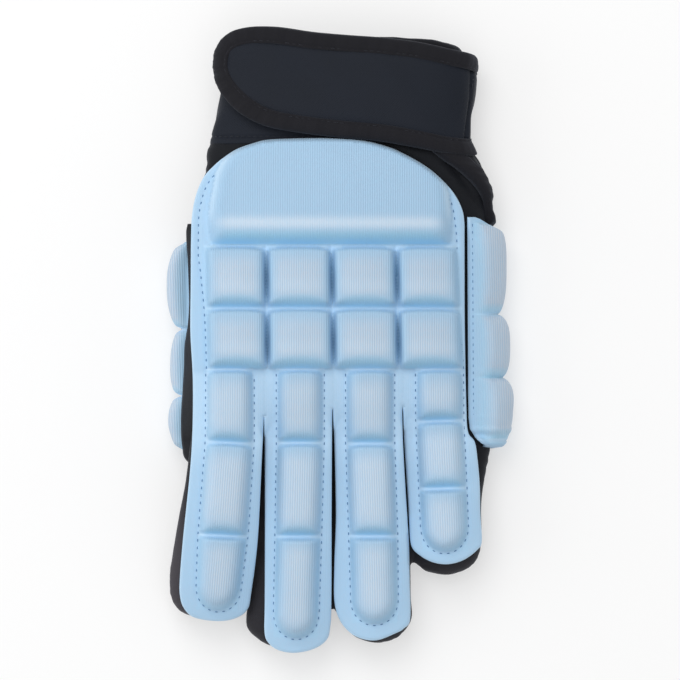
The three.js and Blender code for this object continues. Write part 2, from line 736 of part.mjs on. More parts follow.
const pieces = [
  named('hand_back', body.back, fabricBlack),
  named('hand_palm', body.palm, fabricBlack),
  ...body.tubes.map((tube, index) => named(tubeNames[index], tube, fabricBlack)),
  named('back_shield', makeShield(fittedBody), foamBlue),
  named('side_pad', makePad(sideRows, sideSheet, sideRise, armPoint, fittedBody), foamBlue),
  named('thumb_pad', makePad(thumbRows, thumbSheet, thumbRise, thumbPoint, fittedBody), foamBlue),
  named('wrist_cuff', makeCuff(), neopreneBlack),
  named('cuff_binding', makeCuffBinding(), tapeBlack),
  named('wrist_strap', makeStrap(), neopreneBlack),
  named('strap_binding', makeStrapBinding(), tapeBlack),
  named('hook_patch', makeHookPatch(), hookBlack),
  named(
    'side_gusset',
    sideBand((row) => [row.edge - gussetTape - seamGap, row.to], gussetThick, fittedBody),
    neopreneBlack,
  ),
  named(
    'gusset_binding',
    sideBand((row) => [row.edge, row.edge - gussetTape], gussetThick + tape, fittedBody),
    tapeBlack,
  ),
];

// The origin is the middle of the ground that the glove covers
const glove = new THREE.Group();
pieces.forEach((piece) => glove.add(piece));
const extent = new THREE.Box3().setFromObject(glove);
const middle = extent.getCenter(new THREE.Vector3());
glove.position.set(-middle.x, -middle.y, -extent.min.z);

export default glove;
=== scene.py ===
import bpy
import math
import random
import numpy as np
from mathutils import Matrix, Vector, geometry, kdtree


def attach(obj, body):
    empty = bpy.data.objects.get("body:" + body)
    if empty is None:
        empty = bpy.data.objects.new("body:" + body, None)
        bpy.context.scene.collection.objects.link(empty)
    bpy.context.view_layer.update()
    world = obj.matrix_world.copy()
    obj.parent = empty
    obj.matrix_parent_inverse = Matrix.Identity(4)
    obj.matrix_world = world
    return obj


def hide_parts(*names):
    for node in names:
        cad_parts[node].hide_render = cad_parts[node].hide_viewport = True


# Indoor hockey glove on its palm. Tables are in millimetres from the middle of the glove, with the
# fingers along -Y and the thumb side at -X.

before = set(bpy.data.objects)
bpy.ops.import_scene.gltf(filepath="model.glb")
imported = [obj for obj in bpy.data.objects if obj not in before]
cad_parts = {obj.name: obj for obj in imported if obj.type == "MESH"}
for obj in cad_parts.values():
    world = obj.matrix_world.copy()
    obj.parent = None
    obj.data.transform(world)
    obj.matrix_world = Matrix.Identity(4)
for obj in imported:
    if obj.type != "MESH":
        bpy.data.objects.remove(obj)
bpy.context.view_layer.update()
mm = 0.001
placeX, placeY = 0.21, 0.22  # the frame's origin against the tables' middle
random.seed(4)
print("frame loaded")

# Hand and cuff: left and right edge, height of the middle, half depth and tilt in degrees
hand = {
    "y": [-38.4, -35.5, -30, -18, 2, 24, 44, 60, 67, 73, 84, 96, 108, 116.4],
    "left": [-49, -50.6, -51.7, -53, -53.5, -54, -54, -52.3, -50.9, -50.0, -47.9, -45.4, -44.6, -44],
    "right": [52.8, 54.5, 55.3, 56.3, 56.5, 56.5, 56.2, 54.6, 52.0, 47.4, 45.8, 46.9, 47.5, 46.9],
    "middle": [16.5, 16.5, 16.4, 16.4, 16.5, 16.2, 15.8, 14.8, 14.2, 13.9, 13.8, 13.8, 13.8, 13.8],
    "rise": [5.2, 9.9, 12.8, 13.9, 14.5, 14.5, 14.2, 13.6, 13.5, 13.2, 12.8, 12.3, 12.0, 11.9],
    "tilt": [9, 9, 9, 9.5, 9.5, 9, 7, 4.5, 3.5, 3, 2, 1.5, 1, 1],
    "backPower": 3.2,
    "palmPower": 2.3,
}
# Finger tubes: sideways place and height of the centre line at the root, middle and tip
fingers = [
    {"side": [-42.0, -47.5, -54.5], "high": [25.6, 20.5, 8.5], "end": -106.6},
    {"side": [-16.5, -18.5, -25.0], "high": [19.3, 15.5, 8.5], "end": -118.1},
    {"side": [11.0, 13.0, 14.5], "high": [14.9, 12.6, 8.5], "end": -116.4},
    {"side": [41.5, 42.2, 40.4], "high": [10.8, 9.9, 8.8], "end": -90.0},
]
fingerTaper = {"along": [0, 0.5, 0.72, 0.86, 0.94, 0.985, 1], "full": [1, 1, 0.98, 0.93, 0.76, 0.48, 0.16]}
fingerStart, fingerWide, fingerDeep = -18, 12.5, 9
# Thumb tube folded under the palm
thumb = {
    "y": [52, 40, 30, 9.6, -19.2, -36, -43.9, -48.5],
    "side": [-43, -46.5, -47.7, -48.1, -49, -49.3, -49.5, -49.6],
    "high": [19, 12, 8.1, 7, 7, 6.9, 6.6, 6.4],
    "wide": [9.4, 10.5, 10.5, 10.5, 10.5, 9.9, 7.6, 2.5],
    "deep": [6.3, 7.7, 7.3, 7, 7, 6.4, 5, 2.1],
}


def readSmooth(table, name, key, at):
    # smooth curve through a column of a table
    xs = np.array(table[key], float)
    ys = np.array(table[name], float)
    if xs[0] > xs[-1]:
        xs, ys = xs[::-1], ys[::-1]
    at = np.clip(np.asarray(at, float), xs[0], xs[-1])
    slope = np.gradient(ys, xs)
    i = np.clip(np.searchsorted(xs, at) - 1, 0, len(xs) - 2)
    step = xs[i + 1] - xs[i]
    t = (at - xs[i]) / step
    return ((2 * t**3 - 3 * t**2 + 1) * ys[i] + (t**3 - 2 * t**2 + t) * step * slope[i]
            + (3 * t**2 - 2 * t**3) * ys[i + 1] + (t**3 - t**2) * step * slope[i + 1])


def smoothStep(value, low, high):
    t = np.clip((np.asarray(value, float) - low) / (high - low), 0, 1)
    return t * t * (3 - 2 * t)


def bend(three, share):
    curve = 2 * (three[0] + three[2] - 2 * three[1])
    return three[0] + (three[2] - three[0] - curve) * share + curve * share * share


def squareRound(angle, power):
    across, up = np.abs(np.cos(angle)), np.abs(np.sin(angle))
    reach = (across**power + up**power) ** (-1 / power)
    return np.cos(angle) * reach, np.sin(angle) * reach


def handPoint(y, angle, out, ground=None):
    # point on the hand or cuff, turned by angle round its section and moved out from its face
    left, right, middle, rise, tilt = (readSmooth(hand, name, "y", y) for name in ("left", "right", "middle", "rise", "tilt"))
    power = np.where(np.sin(angle) >= 0, hand["backPower"], hand["palmPower"])
    ux, uz = squareRound(angle, power)
    centre = (left + right) / 2
    x = centre + ux * ((right - left) / 2 + out)
    z = middle + uz * (rise + out) - np.tan(np.radians(tilt)) * (x - centre)
    if ground is not None:
        z = np.maximum(z, ground)
    return np.stack([x, y + 0 * x, z], -1)


def fingerPoint(tube, share, angle, out, ground=None):
    taper = np.interp(share, fingerTaper["along"], fingerTaper["full"])
    ux, uz = squareRound(angle, 2.2)
    x = bend(tube["side"], share) + ux * (taper * fingerWide + out)
    z = bend(tube["high"], share) + uz * ((0.2 + 0.8 * taper) * fingerDeep + out)
    if ground is not None:
        z = np.maximum(z, ground)
    y = fingerStart + (tube["end"] - fingerStart) * share
    return np.stack([x, y + 0 * x, z], -1)


def thumbPoint(y, angle, out, ground=None):
    side, high, wide, deep = (readSmooth(thumb, name, "y", y) for name in ("side", "high", "wide", "deep"))
    ux, uz = squareRound(angle, 2.2)
    x = side + ux * (wide + out)
    z = high + uz * (deep + out)
    if ground is not None:
        z = np.maximum(z, ground)
    return np.stack([x, y + 0 * x, z], -1)


def newMesh(name, points, faces, smooth=True):
    # points in millimetres of the tables become an object in the frame
    points = np.asarray(points, float).reshape(-1, 3)
    placed = (points + np.array([placeX, placeY, 0])) * mm
    mesh = bpy.data.meshes.new(name)
    mesh.from_pydata(placed.tolist(), [], [list(face) for face in faces])
    mesh.update()
    if smooth:
        mesh.polygons.foreach_set("use_smooth", [True] * len(mesh.polygons))
    piece = bpy.data.objects.new(name, mesh)
    bpy.context.scene.collection.objects.link(piece)
    return piece


def select(piece):
    bpy.ops.object.select_all(action="DESELECT")
    piece.select_set(True)
    bpy.context.view_layer.objects.active = piece


def modify(piece, kind, **values):
    # adds a modifier with these values and applies it
    select(piece)
    modifier = piece.modifiers.new(kind.title(), kind)
    for name, value in values.items():
        setattr(modifier, name, value)
    bpy.ops.object.modifier_apply(modifier=modifier.name)


def recalculate(piece):
    select(piece)
    bpy.ops.object.mode_set(mode="EDIT")
    bpy.ops.mesh.select_all(action="SELECT")
    bpy.ops.mesh.remove_doubles(threshold=0.00002)
    bpy.ops.mesh.normals_make_consistent(inside=False)
    bpy.ops.object.mode_set(mode="OBJECT")


def paint(piece, name, values):
    # one number for each vertex, which the materials read
    attribute = piece.data.attributes.new(name, "FLOAT", "POINT")
    attribute.data.foreach_set("value", np.asarray(values, np.float32))


def finish(piece, material, slot, *nodes):
    piece.data.materials.clear()
    piece.data.materials.append(material)
    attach(piece, "root")
    if nodes:
        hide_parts(*nodes)


def gridFaces(rows, columns, closed=False, start=0):
    faces = []
    wide = columns if closed else columns - 1
    for row in range(rows - 1):
        for column in range(wide):
            a = start + row * columns + column
            b = start + row * columns + (column + 1) % columns
            faces.append((a, b, b + columns, a + columns))
    return faces


def sweptFaces(rows, columns, around=False):
    faces = gridFaces(rows, columns, closed=True)
    if around:
        last = (rows - 1) * columns
        faces += [(last + k, last + (k + 1) % columns, (k + 1) % columns, k) for k in range(columns)]
    else:
        last = (rows - 1) * columns
        faces += [tuple(range(columns))[::-1], tuple(last + k for k in range(columns))]
    return faces


def orient(piece):
    select(piece)
    bpy.ops.object.mode_set(mode="EDIT")
    bpy.ops.mesh.select_all(action="SELECT")
    bpy.ops.mesh.normals_make_consistent(inside=False)
    bpy.ops.object.mode_set(mode="OBJECT")


# Foam shield over the back of the hand and the fingers
shield = {
    "sheet": 3.0,  # flat stitched margin
    "gap": 0.3,
    "rise": 7.5,  # blocks of the hand above the margin
    "fingerRise": 6.5,
    "pitch": 0.72,  # size of the fine surface's cells
    "edgeRound": 1.1,
    "ribPitch": 0.88,
    "stitchPitch": 2.9,
    # outline from the first slit round the index finger, the hand and the little finger to the last slit
    "around": [(-28.95, -29.1), (-29.25, -36), (-29.8, -46.8), (-31.3, -76.1), (-33.8, -96.6), (-35.4, -103.6), (-40.1, -107),
               (-47, -108), (-55.8, -106.6), (-59.7, -103.1), (-61.2, -98.5), (-61.3, -92), (-60, -76.3), (-57.4, -51.8),
               (-56.3, -35.3), (-56.1, -15), (-57, 3), (-56.9, 20), (-56.8, 38.3), (-56.4, 48), (-54.8, 56), (-51.9, 62.6),
               (-48.2, 66.7), (-44.7, 69.7), (-39.3, 73.2), (-32.2, 75.7), (-27.1, 76.8), (-15.7, 77.3), (-4, 77.4), (8.6, 76.6),
               (18.6, 74.1), (25.4, 71.1), (33.2, 66.6), (38.9, 61.9), (43.9, 56.3), (46.9, 50.6), (47.9, 45.5), (48, 38),
               (48.1, 6), (48.7, -25), (49.4, -35.2), (52, -39.2), (53.1, -46.4), (53.9, -56), (54.1, -66), (54.7, -77.2),
               (53, -80.6), (47.9, -84.4), (42, -86.1), (36.2, -85.5), (31.2, -83), (27.6, -79), (26.75, -70), (26.2, -60),
               (24.9, -40), (24.5, -29), (24.2, -25.3)],
    "ring": [(24.2, -25.3), (24.1, -29), (24.4, -40), (25.5, -60), (26.2, -70), (26.7, -78), (27, -92), (27.2, -107),
             (24.8, -110.8), (21.5, -112.7), (14.6, -115.3), (8.6, -114.8), (3.9, -112.3), (0, -107.4), (-2, -100),
             (-2, -86), (-1.4, -66.3), (-2, -40), (-2.4, -30), (-2.5, -26.3)],
    "middle": [(-2.5, -26.3), (-2.8, -30), (-3, -60), (-3.1, -100), (-3.5, -110), (-4.9, -115.2), (-9.8, -118.7),
               (-17.2, -120.2), (-23.6, -119.1), (-27.4, -116.2), (-28.8, -112), (-28.7, -100), (-28.6, -60), (-28.75, -36),
               (-28.95, -29.1)],
    "slits": [{"y": [-29, -76, -106], "x": [-28.95, -30, -32.2]}, {"y": [-26, -66, -106], "x": [-2.5, -2.2, -2.6]},
              {"y": [-25, -66, -106], "x": [24.2, 26, 27.3]}],
    # hand blocks: grooves between the columns and creases between the rows
    "creases": [36.0, 12.2, -11.2],
    "grooves": {"y": [36, -11.2], "first": [-51.2, -50.2], "second": [-28.1, -27.5], "third": [-3.05, -2.2],
                "fourth": [21.7, 22.8], "last": [45, 47.3]},
    # raised panel: its sides and top edge
    "panel": [(-49.6, 36.2), (-50.1, 44), (-49.8, 51), (-48.6, 57.5), (-47.0, 64.5), (-42.6, 71.8), (-35, 76.8), (-27, 79.0),
              (-15.7, 79.6), (-4, 79.7), (8.6, 79.0), (18.6, 76.6), (26.4, 73.4), (35, 68.2), (40.2, 62.6), (41.8, 56.6),
              (42.6, 50), (43.0, 44), (43.2, 36.2)],
}
# Blocks of the fingers: both edges of the raised blocks along the finger, the creases and the rounded end
fingerBlocks = [
    {"y": [-11, -39, -75, -92, -104], "left": [-50.1, -50.4, -53.3, -54, -54.4], "right": [-33.6, -33.6, -36, -38.2, -40],
     "creases": [-39.3, -75], "slant": -0.05, "end": -103.6},
    {"y": [-11, -39, -75, -100, -114], "left": [-23.2, -23.2, -23.8, -24.3, -24.6], "right": [-6.8, -6.8, -7.8, -8.6, -9],
     "creases": [-39.4, -75.4], "slant": 0, "end": -114.2},
    {"y": [-11, -39, -75, -98, -109], "left": [3.3, 3.3, 4.5, 5.2, 5.4], "right": [20.2, 20.2, 21.4, 21.6, 21.6],
     "creases": [-39.7, -75.3], "slant": 0, "end": -108.8},
    {"y": [-11, -31, -57, -72, -81], "left": [30.1, 30.2, 31.4, 32.1, 32.3], "right": [46.6, 46.8, 48, 48.6, 48.7],
     "creases": [-31.1, -57], "slant": 0.03, "end": -81.2},
]


def curveThrough(points, pitch):
    # even steps along a smooth curve through the points
    points = np.array(points, float)
    whole = np.vstack([2 * points[0] - points[1], points, 2 * points[-1] - points[-2]])
    fine = []
    for i in range(1, len(whole) - 2):
        a, b, c, d = whole[i - 1:i + 3]
        t = np.linspace(0, 1, 24, endpoint=False)[:, None]
        fine.append(0.5 * (2 * b + (c - a) * t + (2 * a - 5 * b + 4 * c - d) * t**2 + (3 * b - 3 * c + d - a) * t**3))
    fine = np.vstack(fine + [points[-1:]])
    along = np.concatenate([[0], np.cumsum(np.linalg.norm(np.diff(fine, axis=0), axis=1))])
    count = max(int(round(along[-1] / pitch)), 2)
    even = np.linspace(0, along[-1], count + 1)
    return np.stack([np.interp(even, along, fine[:, k]) for k in range(points.shape[1])], 1)


def insideOutline(points, outline):
    # even-odd test of many points against a closed outline
    inside = np.zeros(len(points), bool)
    a, b = outline, np.roll(outline, -1, axis=0)
    for (ax, ay), (bx, by) in zip(a, b):
        if ay == by:
            continue
        crosses = (points[:, 1] > ay) != (points[:, 1] > by)
        at = ax + (points[:, 1] - ay) / (by - ay) * (bx - ax)
        inside ^= crosses & (points[:, 0] < at)
    return inside


def nearest(points, targets):
    tree = kdtree.KDTree(len(targets))
    for i, (x, y) in enumerate(targets):
        tree.insert((x, y, 0), i)
    tree.balance()
    return np.array([tree.find((x, y, 0))[2] for x, y in points])


def handUnder(x, y):
    left, right, middle, rise, tilt = (readSmooth(hand, name, "y", y) for name in ("left", "right", "middle", "rise", "tilt"))
    centre = (left + right) / 2
    aside = (x - centre) / ((right - left) / 2)
    return middle + rise * (1.02 - 0.27 * aside**2) - np.tan(np.radians(tilt)) * (x - centre)


def stripShares(x, y):
    # how far a place belongs to each finger: shared near the knuckles, parted below the slits
    sides = []
    for slit in shield["slits"]:
        down = smoothStep(-y, -slit["y"][0] - 2, -slit["y"][0] + 10)
        blur = 7 * (1 - down) + 0.05
        line = np.interp(-y, [-v for v in slit["y"]], slit["x"])
        sides.append(smoothStep(x - line, -blur, blur))
    one, two, three = sides
    return [1 - one, one * (1 - two), two * (1 - three), three]


def foamUnder(x, y):
    # height of the foam's underside over hand and fingers
    hands = handUnder(x, np.maximum(y, -38))
    root = smoothStep(-y, 10.8, 41.8)
    result = 0
    for tube, share in zip(fingers, stripShares(x, y)):
        along = np.clip((y - fingerStart) / (tube["end"] - fingerStart), 0, 1)
        crown = bend(tube["high"], along) + fingerDeep - fingerDeep / 2 * ((x - bend(tube["side"], along)) / (2 * fingerWide))**2
        result = result + share * (hands * (1 - root) + crown * root)
    return result


def rounded(distance, width, power=2.6):
    # block wall: steep at its foot, round at its shoulder
    t = np.clip(distance / width, 0, 1)
    return 1 - (1 - t)**(power + 0.6)


def blockRise(left, right, top, bottom, side, upper, lower):
    # left, right, top and bottom are distances in from the edges of a block
    wide = np.maximum(left + right, 1)
    tall = np.maximum(top + bottom, 1)
    s = np.clip((left - right) / wide, -1, 1)
    t = np.clip((bottom - top) / tall, -1, 1)
    top = top - 1.3 * np.abs(s)**3
    bottom = bottom - 0.3 * s**2
    walls = rounded(left, side) * rounded(right, side)
    ends = 0.3 + 0.7 * rounded(top, upper) * rounded(bottom, lower * (1 - 0.72 * np.abs(s)**2.4), 1.9)
    crown = 0.80 + 0.20 * (1 - s**2) * (1 - 0.6 * (t + 0.15)**2)
    return walls * ends * crown, s, t


def foamShape(x, y, panelEdge):
    # rise of the blocks, place across the ribs, and the paint of each place: paler tops with a painted sheen, deeper
    # blue painted shade on the lower slopes, painted shade in the slots, and painted highlights on creases, ridges and
    # flat margins
    rise, pale_and_sheen, deep, groove_shade, highlight_and_cut_edge = (np.zeros_like(x) for _ in range(5))
    rib = x.copy()
    top, shares = shield["creases"], stripShares(x, y)
    columns = ["first", "second", "third", "fourth", "last"]
    lines = [np.interp(-y, [-v for v in shield["grooves"]["y"]], shield["grooves"][name]) for name in columns]
    for row in range(2):
        for column in range(4):
            left, right = x - lines[column], lines[column + 1] - x
            up, down = top[row] - 0.4 - y, y - top[row + 1] - 0.4
            inside = (left > 0) & (right > 0) & (up > -0.4) & (down > -0.4)
            form, s, t = blockRise(left, right, up, down, 3.7, 1.4, 5.8)
            rise = np.where(inside, shield["rise"] * form, rise)
            # paler tops: the stretched cloth's own lighter tone, with a painted sheen and a painted highlight in the
            # lower middle of each block
            middle = smoothStep(np.minimum(left, right), 0.6, 6.5) * smoothStep(up, 0.3, 8) * smoothStep(down, 2.0, 7.5)
            pale_and_sheen = np.where(inside, middle * (0.72 + 0.28 * np.exp(-((down - 7.5) / 4)**2)), pale_and_sheen)
            highlight_and_cut_edge = np.where(inside, 0.28 * middle * np.exp(-((down - 8) / 3)**2), highlight_and_cut_edge)
            # painted shade: deeper blue crescents on each block's lower slope and a thin strip of it under the upper
            # edge
            shade_crescent = np.clip(1 - down / (5.4 * (1 - 0.75 * s**2) + 0.2), 0, 1)**0.85 * smoothStep(np.minimum(left, right), 0.6, 3.2)
            lip_shade = 0.12 * np.exp(-((up - 1.3 * np.abs(s)**3 - 0.7) / 0.6)**2)
            deep = np.where(inside, np.maximum(shade_crescent, lip_shade), deep)
        # painted shade in the slots between the columns, and on the slopes beside them
        for column in (1, 2, 3):
            along = np.clip((top[row] - 2.6 - y) / (top[row] - top[row + 1] - 3.8), 0, 1)
            lens = np.sqrt(np.clip(np.sin(math.pi * along), 0, 1)) + 0.001
            slot = np.exp(-(np.abs(x - lines[column]) / (0.85 * lens))**2.2) * lens
            groove_shade = np.maximum(groove_shade, slot)
            deep = np.maximum(deep, 0.3 * np.exp(-((x - lines[column]) / 2.4)**2) * lens)
        # painted shade along the outer grooves of the hand blocks
        for column in (0, 4):
            deep = np.maximum(deep, 0.25 * np.exp(-((x - lines[column]) / 1.6)**2) * ((y < top[0]) & (y > top[2])))
    # painted highlights where the slots open into the creases
    for line in lines[1:4]:
        for i, crease in enumerate(top[:2]):
            wide, high = (2.3, 1.25) if i == 0 else (1.6, 0.9)
            highlight_and_cut_edge = np.maximum(highlight_and_cut_edge, np.exp(-np.abs((x - line) / wide)**1.6 - ((y - crease + 0.7) / high)**2))
    # painted highlight along the creases between the rows
    across = (x > lines[0] - 1) & (x < lines[4] + 1)
    for crease in top[:2]:
        highlight_and_cut_edge = np.maximum(highlight_and_cut_edge, np.exp(-((y - crease) / 0.42)**2) * across)
    over = (y > top[0]) & insideOutline(np.stack([x, y], 1), panelEdge)
    reach = np.zeros_like(x)
    reach[over] = nearest(np.stack([x, y], 1)[over], curveThrough(shield["panel"], 0.5))
    above = y - top[0] - 0.4
    form = rounded(reach + 0.9 * smoothStep(above, 6, 18), 6.5, 2.4) * rounded(above, 7.5, 1.8)
    swell = 0.93 + 0.07 * np.exp(-((y - 47) / 9)**2)
    rise = np.where(over, shield["rise"] * 0.95 * form * swell, rise)
    # painted shade on the panel's lower slope and faintly just inside its edge
    side = np.clip(np.minimum(x + 51, 44.4 - x) / 15, 0, 1)
    slope = smoothStep(-above, -7.2, -2.6) * smoothStep(side, 0.02, 0.45 + 0.08 * above)
    deep = np.where(over, np.maximum(slope, 0.10 * smoothStep(-reach, -2.0, -0.4)), deep)
    # painted sheen and highlight in a strip across the panel, and a painted highlight along its top rim
    highlight_band = np.exp(-((above - 8.6) / 2.2)**2) * smoothStep(reach, 0.5, 9)
    pale_and_sheen = np.where(over, 0.9 * highlight_band + 0.08 * smoothStep(reach, 2, 9), pale_and_sheen)
    rim = np.exp(-((reach - 0.5) / 1.5)**2) * smoothStep(above, 4, 14)
    highlight_and_cut_edge = np.where(over, np.maximum(np.maximum(highlight_and_cut_edge, 0.45 * highlight_band), rim), highlight_and_cut_edge)
    for number, finger in enumerate(fingerBlocks):
        belongs = shares[number] > 0.5
        keys = [-v for v in finger["y"]]
        left = x - np.interp(-y, keys, finger["left"])
        right = np.interp(-y, keys, finger["right"]) - x
        centre = np.interp(-y, keys, (np.array(finger["left"]) + finger["right"]) / 2)
        rib = np.where(belongs & (y < top[2]), x - centre, rib)
        half = (left + right) / 2
        turn = finger["slant"] * (x - centre)
        marks = [top[2], finger["creases"][0], finger["creases"][1], finger["end"]]
        for i in range(3):
            up, down = marks[i] - 0.5 - (y - turn * (i > 0)), (y - turn * (i < 2)) - marks[i + 1] - 0.5
            inside = belongs & (left > -0.6) & (right > -0.6) & (up > -0.5) & (down > -0.5)
            s = np.clip((x - centre) / np.maximum(half, 1), -1, 1)
            if i == 2:
                # rounded fingertip block: the walls follow an arc round its end
                past = np.clip(half * 1.15 - down, 0, None) / 1.15
                away = half - np.sqrt((x - centre)**2 + past**2)
                wall = np.minimum(np.minimum(left, right), np.where(past > 0, away, 99))
                form = rounded(wall + 0.5, 6.5, 3.4) * (0.3 + 0.7 * rounded(up, 2.4, 2.4)) * (0.84 + 0.16 * (1 - s**2))
                middle = smoothStep(wall, -1.0, 8.0) * smoothStep(up, 0, 8)
                # painted shade round the fingertip block's end
                shade_crescent = 0.35 * smoothStep(-wall, -2.2, 0.3)
            else:
                form, s, t = blockRise(left + 0.5, right + 0.5, up, down, 5.6, 1.6, 5.0)
                middle = np.clip(1 - s**2, 0, 1)**0.8 * smoothStep(up, 0, 9) * smoothStep(down, 1.0, 9)
                shade_crescent = np.clip(1 - down / (4.0 * (1 - 0.6 * s**2) + 0.3), 0, 1)**0.9 * smoothStep(np.minimum(left, right), 0.2, 2.4)
            # finger blocks: painted shade under the upper edge, on the lower slopes and beside the blocks; paler tops
            # with a painted highlight
            lip_shade = 0.12 * np.exp(-((up - 0.7) / 0.6)**2)
            rise = np.where(inside, np.maximum(rise, shield["fingerRise"] * np.clip(form, 0, None)), rise)
            pale_and_sheen = np.where(inside, middle, pale_and_sheen)
            highlight_and_cut_edge = np.where(inside, 0.3 * middle, highlight_and_cut_edge)
            deep = np.where(inside, np.maximum(np.maximum(shade_crescent, lip_shade), 0.22 * smoothStep(-np.minimum(left, right), -3.5, 0)), deep)
        # painted highlight along the finger creases and the crease at their roots
        within = belongs & (left > -0.9) & (right > -0.9)
        highlight_and_cut_edge = np.maximum(highlight_and_cut_edge, np.exp(-((y - top[2]) / 0.5)**2) * within * (number < 4))
        for crease in finger["creases"]:
            highlight_and_cut_edge = np.maximum(highlight_and_cut_edge, np.exp(-((y - turn - crease) / 0.5)**2) * within)
    ribbed = smoothStep(rise / shield["rise"], 0.3, 0.75) * (1 - 0.7 * np.where(over, highlight_band, 0))
    # painted light over the flat margin, strongest in the open margins between the fingers
    open = (y < top[2] + 1) & (rise < 0.6)
    highlight_and_cut_edge = np.maximum(highlight_and_cut_edge, 0.85 * open * smoothStep(-y, -top[2] - 1, -top[2] + 3) * smoothStep(y, -62, -30))
    highlight_and_cut_edge = np.maximum(highlight_and_cut_edge, 0.25 * (rise < 0.6))
    return rise, {"rib": rib, "ribbed": ribbed, "pale_and_sheen": pale_and_sheen, "deep": deep * (1 - highlight_and_cut_edge), "groove_shade": groove_shade, "highlight_and_cut_edge": highlight_and_cut_edge}


def sheetMesh(loops, pitch, rings):
    # triangles inside closed outlines, with finer rings along the edge; returns points, faces and the loop of edge points
    outline = np.vstack(loops)
    low, high = outline.min(0), outline.max(0)
    rows = np.arange(low[1], high[1], pitch * 0.87)
    grid = np.array([(x + (i % 2) * pitch / 2, y) for i, y in enumerate(rows) for x in np.arange(low[0], high[0], pitch)])
    grid = grid[insideOutline(grid, outline)]
    grid = grid[nearest(grid, outline) > (rings[-1] if rings else pitch * 0.5) + pitch * 0.55]
    tangent = np.roll(outline, -1, axis=0) - np.roll(outline, 1, axis=0)
    tangent /= np.maximum(np.linalg.norm(tangent, axis=1, keepdims=True), 1e-6)
    area = np.sum(outline[:, 0] * np.roll(outline[:, 1], -1) - np.roll(outline[:, 0], -1) * outline[:, 1])
    inward = np.stack([-tangent[:, 1], tangent[:, 0]], 1) * (1 if area > 0 else -1)
    points = [outline]
    for ring in rings:
        moved = outline + inward * ring
        points.append(moved[insideOutline(moved, outline) & (nearest(moved, outline) > ring * 0.85)])
    points = np.vstack(points + [grid])
    edges = [(i, (i + 1) % len(outline)) for i in range(len(outline))]
    result = geometry.delaunay_2d_cdt([Vector(p) for p in points], edges, [], 1, 1e-5)
    flat = np.array([tuple(v) for v in result[0]])
    faces = np.array([f for f in result[2] if len(f) == 3])
    faces = faces[insideOutline(flat[faces].mean(1), outline)]
    source = {old: new for new, olds in enumerate(result[3]) for old in olds}
    edgeLoop = [source[i] for i in range(len(outline))]
    a, b, c = flat[faces[:, 0]], flat[faces[:, 1]], flat[faces[:, 2]]
    turned = (b[:, 0] - a[:, 0]) * (c[:, 1] - a[:, 1]) - (b[:, 1] - a[:, 1]) * (c[:, 0] - a[:, 0]) < 0
    faces[turned] = faces[turned][:, ::-1]
    return flat, faces, edgeLoop, area > 0


def makeShield():
    step = 0.6
    around = curveThrough(shield["around"], step)[:-1]
    ring = curveThrough(shield["ring"], step)[:-1]
    middle = curveThrough(shield["middle"], step)[:-1]
    outline = np.vstack([around, ring, middle])
    panelEdge = np.vstack([curveThrough(shield["panel"], 0.6), [(43.2, 34)], [(-49.6, 34)]])
    pitch = shield["pitch"] * 1
    flat, faces, loop, ccw = sheetMesh([outline], pitch, [0.25, 0.7])
    x, y = flat[:, 0], flat[:, 1]
    reach = nearest(flat, outline)
    rise, looks = foamShape(x, y, panelEdge)
    # the cut foam's paler edge along the outline, carried by the painted-highlight attribute
    looks["highlight_and_cut_edge"] = np.maximum(looks["highlight_and_cut_edge"], 0.8 * smoothStep(-reach, -0.75, -0.25))
    under = foamUnder(x, y) + shield["gap"]
    turn = np.clip(1 - reach / shield["edgeRound"], 0, 1)
    edge = shield["edgeRound"] * (1 - np.sqrt(1 - turn**2)) * 0.8
    groove = np.zeros_like(x)
    for path in stitchPaths():
        groove = np.maximum(groove, np.exp(-(nearest(flat, path) / 0.55)**2))
    rise = rise * smoothStep(reach, 0.0, 1.1)
    top = under + shield["sheet"] + rise - edge - 0.35 * groove * (rise < 2)
    bottomFlat, bottomFaces, bottomLoop, _ = sheetMesh([outline], 5, [])
    bottom = foamUnder(bottomFlat[:, 0], bottomFlat[:, 1]) + shield["gap"]
    points = [np.column_stack([flat, top])]
    count = len(flat)
    middleRing = np.column_stack([flat[loop], (top[loop] + under[loop]) / 2])
    points += [middleRing, np.column_stack([bottomFlat, bottom])]
    ringStart, bottomStart = count, count + len(loop)
    allFaces = [tuple(f) for f in faces]
    topCount = len(allFaces)
    for i in range(len(loop)):
        j = (i + 1) % len(loop)
        quads = [(loop[i], loop[j], ringStart + j, ringStart + i),
                 (ringStart + i, ringStart + j, bottomStart + bottomLoop[j], bottomStart + bottomLoop[i])]
        allFaces += [q[::-1] if ccw else q for q in quads]
    allFaces += [tuple(bottomStart + f[::-1]) for f in bottomFaces]
    piece = newMesh("blue_shield", np.vstack(points), allFaces)
    extra = len(loop) + len(bottomFlat)
    for name, values in looks.items():
        paint(piece, name, np.concatenate([values, np.zeros(extra)]))
    for polygon in piece.data.polygons[topCount:]:
        polygon.material_index = 1
    print("shield", len(piece.data.polygons), "faces")
    return piece


